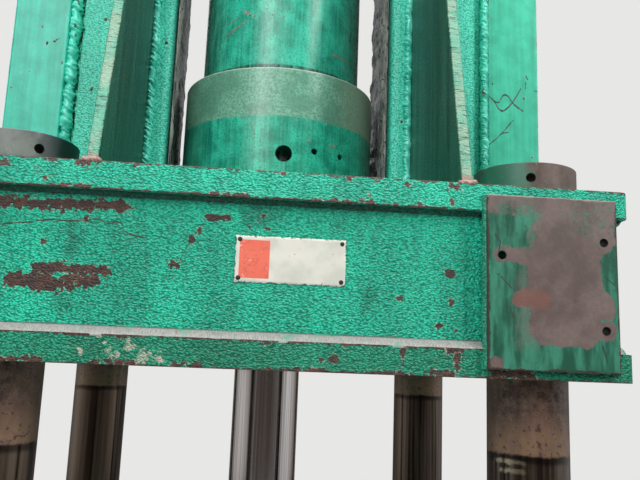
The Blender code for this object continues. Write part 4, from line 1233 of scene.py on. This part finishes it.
def bead(name, start, end, radius, squash, pitch, rough, seed, material, slot="hammered_green", sway=0.0):
    """Lay a weld bead along a line.

    Its section is a circle of radius r(s, a) = radius * (1 + ripple + lumps). The ripple is
    |sin(pi s / pitch)|, a row of round drops with sharp valleys, which lags towards the bead's sides.
    """
    start, end = np.array(start, float), np.array(end, float)
    length = np.linalg.norm(end - start)
    axis = (end - start) / length
    side = np.cross(axis, (0.0, 0.0, 1.0)) if abs(axis[2]) < 0.9 else np.array((1.0, 0.0, 0.0))
    other = np.cross(axis, side)
    along = np.linspace(0.0, length, max(int(length / (pitch / 7)), 12))[:, None]
    angle = full_turn(22)[None, :]
    wobble = pitch * 0.80 * waves(along, (pitch * 3.3, pitch * 7.7), seed)
    drop = np.abs(np.sin(math.pi * ((along + wobble) / pitch + 0.75 * np.sin(angle - 0.9) ** 2)))
    lumps = waves(along + 0.004 * np.sin(angle), (pitch * 2.3, pitch * 3.7, pitch * 7.9), seed + 3)
    knots = waves(along * 1.3 + 0.009 * np.cos(angle), (pitch * 0.9, pitch * 1.6), seed + 8)
    swell = 1.0 + rough * (0.7 * (drop - 0.6) + 0.8 * lumps + 0.45 * knots)
    reach = radius * swell * np.clip(np.minimum(along, length - along) / (radius * 0.8), 0.05, 1.0) ** 0.5
    centre = start + axis * along + np.array((sway, 0.0, 0.0)) * waves(along, (0.05, 0.13), seed + 5)
    rings = (centre[:, None, :] + (reach * np.cos(angle))[..., None] * side
             + (squash * reach * np.sin(angle))[..., None] * other)
    dress(solid(name, rings, 60.0), material, slot=slot)


def rising(x, y):
    """The two ends of a line up an upright."""
    return (x, y, upright_low), (x, y, upright_high)


def bead_enamel(name, light, specks, under):
    """Glossy enamel on weld metal, painted lighter than the tubes' enamel as a painted highlight, with dark
    pits that are partly painted shade in the crevices.
    """
    return enamel(name, (0.030, 0.50, 0.36), light, 0.0, gloss=0.30, glint=0.5, specks=specks, under=under)


# The beads' enamel is painted lighter than the tubes': a painted highlight on the beads.
coarse_enamel = bead_enamel("coarse_bead_enamel", (0.12, 0.78, 0.60), 0.17, (0.012, 0.020, 0.016))
fine_enamel = bead_enamel("fine_bead_enamel", (0.14, 0.80, 0.62), 0.04, (0.02, 0.025, 0.02))
pink_bead = oxide("scorched_bead", (0.34, 0.22, 0.19), 0.6, 0.2, 0.006)
corner_beads = {"left": (0.0085, 0.1055, 0.0102, 0.0125, 0.40, 0.0012),
                "right": (0.0060, 0.1090, 0.0080, 0.0070, 0.26, 0.0005)}
for side_name, side in sides:
    inset, corner_y, coarse, pitch, rough, sway = corner_beads[side_name]
    for end, front in ends:
        tail = end + "_" + side_name
        bead("corner_bead_" + tail, *rising(side * (slab_inner - inset), front * corner_y), coarse, 0.95,
             pitch, rough, bead_seed["corner"] + side, coarse_enamel, "smooth_green", sway)
        for face, x, reach, radius in (("inner", gusset_inner, 0.0048, 0.0078),
                                       ("outer", gusset_inner + gusset_thickness, -0.0015, 0.005)):
            bead("gusset_bead_" + face + "_" + tail, *rising(side * (x - reach), front * 0.1030), radius,
                 1.0, 0.0095, 0.36, bead_seed["gusset"] + side, fine_enamel, sway=0.0006)
            bead("gusset_foot_bead_" + face + "_" + tail, (side * x, front * 0.110, upright_low),
                 (side * x, front * 0.452, upright_low), 0.0050, 0.9, 0.006, 0.22,
                 bead_seed["gusset_foot"] + side, fine_enamel)
        bead("gusset_toe_bead_" + tail, *(
            (side * (gusset_inner + x), front * 0.4570, upright_low + 0.0005) for x in (-0.006, 0.024)),
             0.0048, 0.8, 0.007, 0.30, bead_seed["gusset_toe"] + side, pink_bead)
        for label, near, far, y in (("tube_foot", 0.236, 0.400, 0.1015),
                                    ("slab_foot", 0.414, 0.5100, 0.1160)):
            bead(label + "_bead_" + tail, (side * near, front * y, upright_low),
                 (side * far, front * y, upright_low), 0.0050, 0.9, 0.006, 0.25, bead_seed[label] + side,
                 fine_enamel)


# Crust on the inner walls: old grease, scale and torn primer, a few millimetres thick and uneven,
# on the faces of the tubes that look at the cylinder.
def crust(side_name, side, thickness, seed):
    """A skin on the wall: thickness * (base + lumps), drawn out upwards, falling to zero at its rim."""
    x_wall = side * (tube_inner - 0.0002)
    y = np.linspace(-0.090, 0.090, 64)
    z = np.linspace(upright_low + 0.002, upright_high - 0.004, 420)
    across, up = np.meshgrid(y, z, indexing="ij")
    lumps = sum(waves(across + 0.35 * bend * up, (0.037 / bend, 0.071 / bend), seed + bend)
                * waves(up - 0.2 * across, (0.09 / bend, 0.21 / bend), seed + 7 + bend) / bend
                for bend in (1, 2, 3))
    fine = (waves(across * 3 + up, (0.011, 0.017), seed + 20)
            * waves(up * 2 - across, (0.03, 0.05), seed + 21))
    side_gap = np.minimum(across - y[0], y[-1] - across) / 0.010
    rim = np.clip(np.minimum(side_gap, np.minimum(up - z[0], z[-1] - up) / 0.02), 0, 1)
    depth = thickness * np.clip(0.42 + 0.75 * lumps + 0.12 * fine, 0.05, 1.3) * rim ** 0.5
    face = np.stack([x_wall - side * depth, across, up], axis=-1)
    back = np.stack([np.full_like(across, x_wall), across, up], axis=-1)[:, ::-1]
    return solid("inner_crust_" + side_name, np.concatenate([face, back], axis=1), 80.0)


def crust_finish():
    """Grey and brown-black, streaked upwards, with pits and torn pale fibres."""
    material, place = begin("inner_crust")
    streak = upright_runs(place, 0.014, 0.10)
    fibre = upright_runs(place, 0.0035, 0.03)
    colour = tint(streak, (0.034, 0.040, 0.042), (0.20, 0.235, 0.24))
    colour = tint(fibre * 0.45, colour, (0.42, 0.44, 0.41))
    buff = step(axes(place)[1], -0.035, -0.060) * step(streak, 0.10, 0.55)
    colour = tint(buff * 0.6, colour, (0.40, 0.38, 0.33))
    pits = step(grain(place, 0.009, 3.0), 0.62, 0.68)
    return settle(material, tint(pits, colour, (0.010, 0.009, 0.008)), 0.6, 0.0, (0.7, 0.0015, fibre - pits))


grey_crust = crust_finish()
for (side_name, side), thickness, seed in zip(sides, (0.0055, 0.0085), (81, 91)):
    dress(crust(side_name, side, thickness, seed), grey_crust, slot="bare_primer")


# Cylinder end cap and top tie plate: out of the photograph, finished plainly in the same enamels.
# Eight socket screws hold the cap down.
def socket_screws(name, circle, top, radius, height):
    """Eight cap screws on a circle, half a step round from the front. Each ring's radius is round
    outside, and apothem / cos(angle) round the hexagon."""
    angle = full_turn(48)
    hexagon = radius * 0.48 / np.cos((angle % (math.pi / 3)) - math.pi / 6)
    chamfer = radius * 0.10
    knurl = radius * (1.0 + 0.012 * np.sign(np.sin(angle * 24)))
    rows = [(knurl, -0.003), (knurl, height - 2.2 * chamfer), (radius - 0.4 * chamfer, height - chamfer),
            (radius - chamfer, height), (hexagon + 0.4 * chamfer, height), (hexagon, height - 0.4 * chamfer),
            (hexagon, height * 0.35)]
    points, faces = [], []
    for turn in 2 * math.pi * (np.arange(8) + 0.5) / 8:
        x, y = circle * math.sin(turn), circle * math.cos(turn)
        new_points, new_faces = skin(np.stack([
            np.column_stack([x + row * np.cos(angle), y + row * np.sin(angle), np.full(48, top + level)])
            for row, level in rows]))
        faces += [[index + len(points) for index in face] for face in new_faces]
        points += new_points.tolist()
    return join_piece(name, points, faces, 35.0)


machined = oxide("machined_steel", (0.46, 0.45, 0.44), 0.40, 0.85, 0.06, 0.14, 0.04)
screw_black = oxide("screw_black", (0.035, 0.034, 0.034), 0.42, 0.7)
cap_low, cap_high = box("cylinder_end_cap")
cap_top = cap_high[2] - 0.020
cap_hole = 0.022
plain_enamel = enamel("plain_smooth_enamel", smooth_dark, smooth_light, 0.0, run_depth=0.2, specks=0.05)
plain_hammered = enamel("plain_hammered_enamel", specks=0.08)
cap = turned("end_cap_body", [
    (cap_hole, cap_top), (barrel_radius, cap_top), (barrel_radius, cap_low[2] + 0.015),
    (bore_radius - fit, cap_low[2] + 0.015), (bore_radius - fit, cap_low[2]), (cap_hole, cap_low[2])],
    0.003, 160, True)
dress(cap, plain_enamel, "cylinder_end_cap", slot="smooth_green")
dress(socket_screws("end_cap_screws", 0.143, cap_top, 0.015, 0.020), screw_black, slot="machined_steel")
tie_enamel = enamel("tie_plate_enamel", edges=box("top_tie_plate"), edge_band=0.002, specks=0.06)
dress_eased("top_tie_plate", plate_ease, tie_enamel)


# Ram: a hard-chromed bar under the gland, mirror bright with fine upright marks and thin oil.
def chrome_finish():
    """Chrome with faint upright wear marks and a slight warm film of oil."""
    material, place = begin("ram_chrome")
    marks = upright_runs(place, 0.0025, 0.6)
    film = upright_runs(place, 0.03, 0.9)
    colour = tint(marks, (0.36, 0.34, 0.33), (0.66, 0.66, 0.67))
    colour = tint(film * 0.45, colour, (0.30, 0.22, 0.19))
    return settle(material, colour, scaled(film, 0.09, 0.07), 1.0, (0.05, 0.0002, marks))


ram_low, ram_high = box("ram")
spigot_foot = box("piston")[0][2] - fit
ram_radius = 0.063
spigot_radius = 0.040
ram_bar = turned("ram_bar", [
    (spigot_radius, ram_high[2]), (spigot_radius, spigot_foot), (ram_radius, spigot_foot),
    (ram_radius, ram_low[2])], 0.001, 160)
dress(ram_bar, chrome_finish(), "ram", slot="ram_chrome", body="platen")


# Ram flange and gland: bright turned steel, with socket screws in the flange.
ram_fit = ram_radius + fit
seat_radius = ram_radius + 0.0063
flange_radius = 0.118
flange_low = box("ram_flange")[0][2]
flange_face = flange_low + 0.045
flange = turned("ram_flange_body", [(ram_fit, flange_face), (flange_radius, flange_face),
                                    (flange_radius, flange_low), (ram_fit, flange_low)], 0.003, 144, True)
dress(flange, machined, "ram_flange", slot="machined_steel", body="platen")
dress(socket_screws("ram_flange_screws", 0.092, flange_face, 0.012, 0.016), screw_black,
      slot="machined_steel", body="platen")
gland_low, gland_high = box("gland_ring")[:, 2]
seat_top = gland_low + 0.0123
gland = turned("gland_ring_body", [
    (ram_fit, gland_high), (bore_radius - fit, gland_high), (bore_radius - fit, gland_low),
    (seat_radius, gland_low), (seat_radius, seat_top), (ram_fit, seat_top)], 0.001, 144, True)
dress(gland, machined, "gland_ring", slot="machined_steel")


# Platen: a welded box in hammered enamel with a machined underside, guided on the columns by turned
# bronze bushes.
bronze = oxide("bearing_bronze", (0.40, 0.27, 0.13), 0.42, 0.85, 0.03, 0.20, 0.06)
bush_radius = 0.078
bush_flange = 0.098


def dress_box(nodes, bare_node, body, edge_band, specks, ease, bare_ease):
    """Dress a welded box: worn enamel all over, but for one plate of machined steel."""
    for node in nodes:
        if node == bare_node:
            dress_eased(node, bare_ease, machined, slot="machined_steel", body=body)
        else:
            look = enamel(node + "_enamel", edges=box(node), edge_band=edge_band, specks=specks)
            dress_eased(node, ease, look, body=body)


dress_box(("platen_upper_plate", "platen_web_frame", "platen_lower_plate"), "platen_lower_plate", "platen",
          0.0026, 0.07, plate_ease, 0.0015)
for corner in column_tides:
    low, high = box("guide_bush_" + corner)
    flange_base = high[2] - 0.050 + fit
    flange_rim = flange_base + 0.018
    bush = turned("bush_" + corner, [
        (column_radius + fit, high[2]), (bush_radius, high[2]), (bush_radius, flange_rim),
        (bush_flange, flange_rim), (bush_flange, flange_base), (bush_radius, flange_base),
        (bush_radius, low[2]), (column_radius + fit, low[2])], 0.0015, 128, True, (low + high)[:2] / 2)
    dress(bush, bronze, "guide_bush_" + corner, slot="bronze", body="platen")


# Bed: a welded box in hammered enamel under a machined top plate, on four turned levelling feet.
dress_box(("bed_bottom_plate", "bed_web_frame", "bed_top_plate"), "bed_top_plate", "frame", 0.003, 0.08,
          0.0012, 0.0012)
for corner in column_tides:
    node = "levelling_foot_" + corner
    low, high = box(node)
    foot = turned("foot_" + corner, [(0.058, high[2]), (0.070, high[2] - 0.012), (0.070, low[2])], 0.002, 96,
                  centre=(low + high)[:2] / 2)
    dress(foot, machined, node, slot="machined_steel")


# Hidden pieces keep their own solids: tubes in the crosshead, bearings, seals and the piston.
rubber = oxide("black_rubber", (0.018, 0.018, 0.018), 0.62, 0.0, 0.008)
hidden_looks = {
    plain_hammered: ["crosshead_centre_tube", "platen_hub",
                     *("column_tube_" + corner for corner in column_tides)],
    bronze: ["gland_bush"],
    rubber: ["rod_seal", "wiper_ring", "piston_ring_lower", "piston_ring_upper"],
    machined: ["piston", "piston_nut"],
}
for look, nodes in hidden_looks.items():
    for node in nodes:
        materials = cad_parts[node].data.materials
        materials.clear()
        materials.append(look)
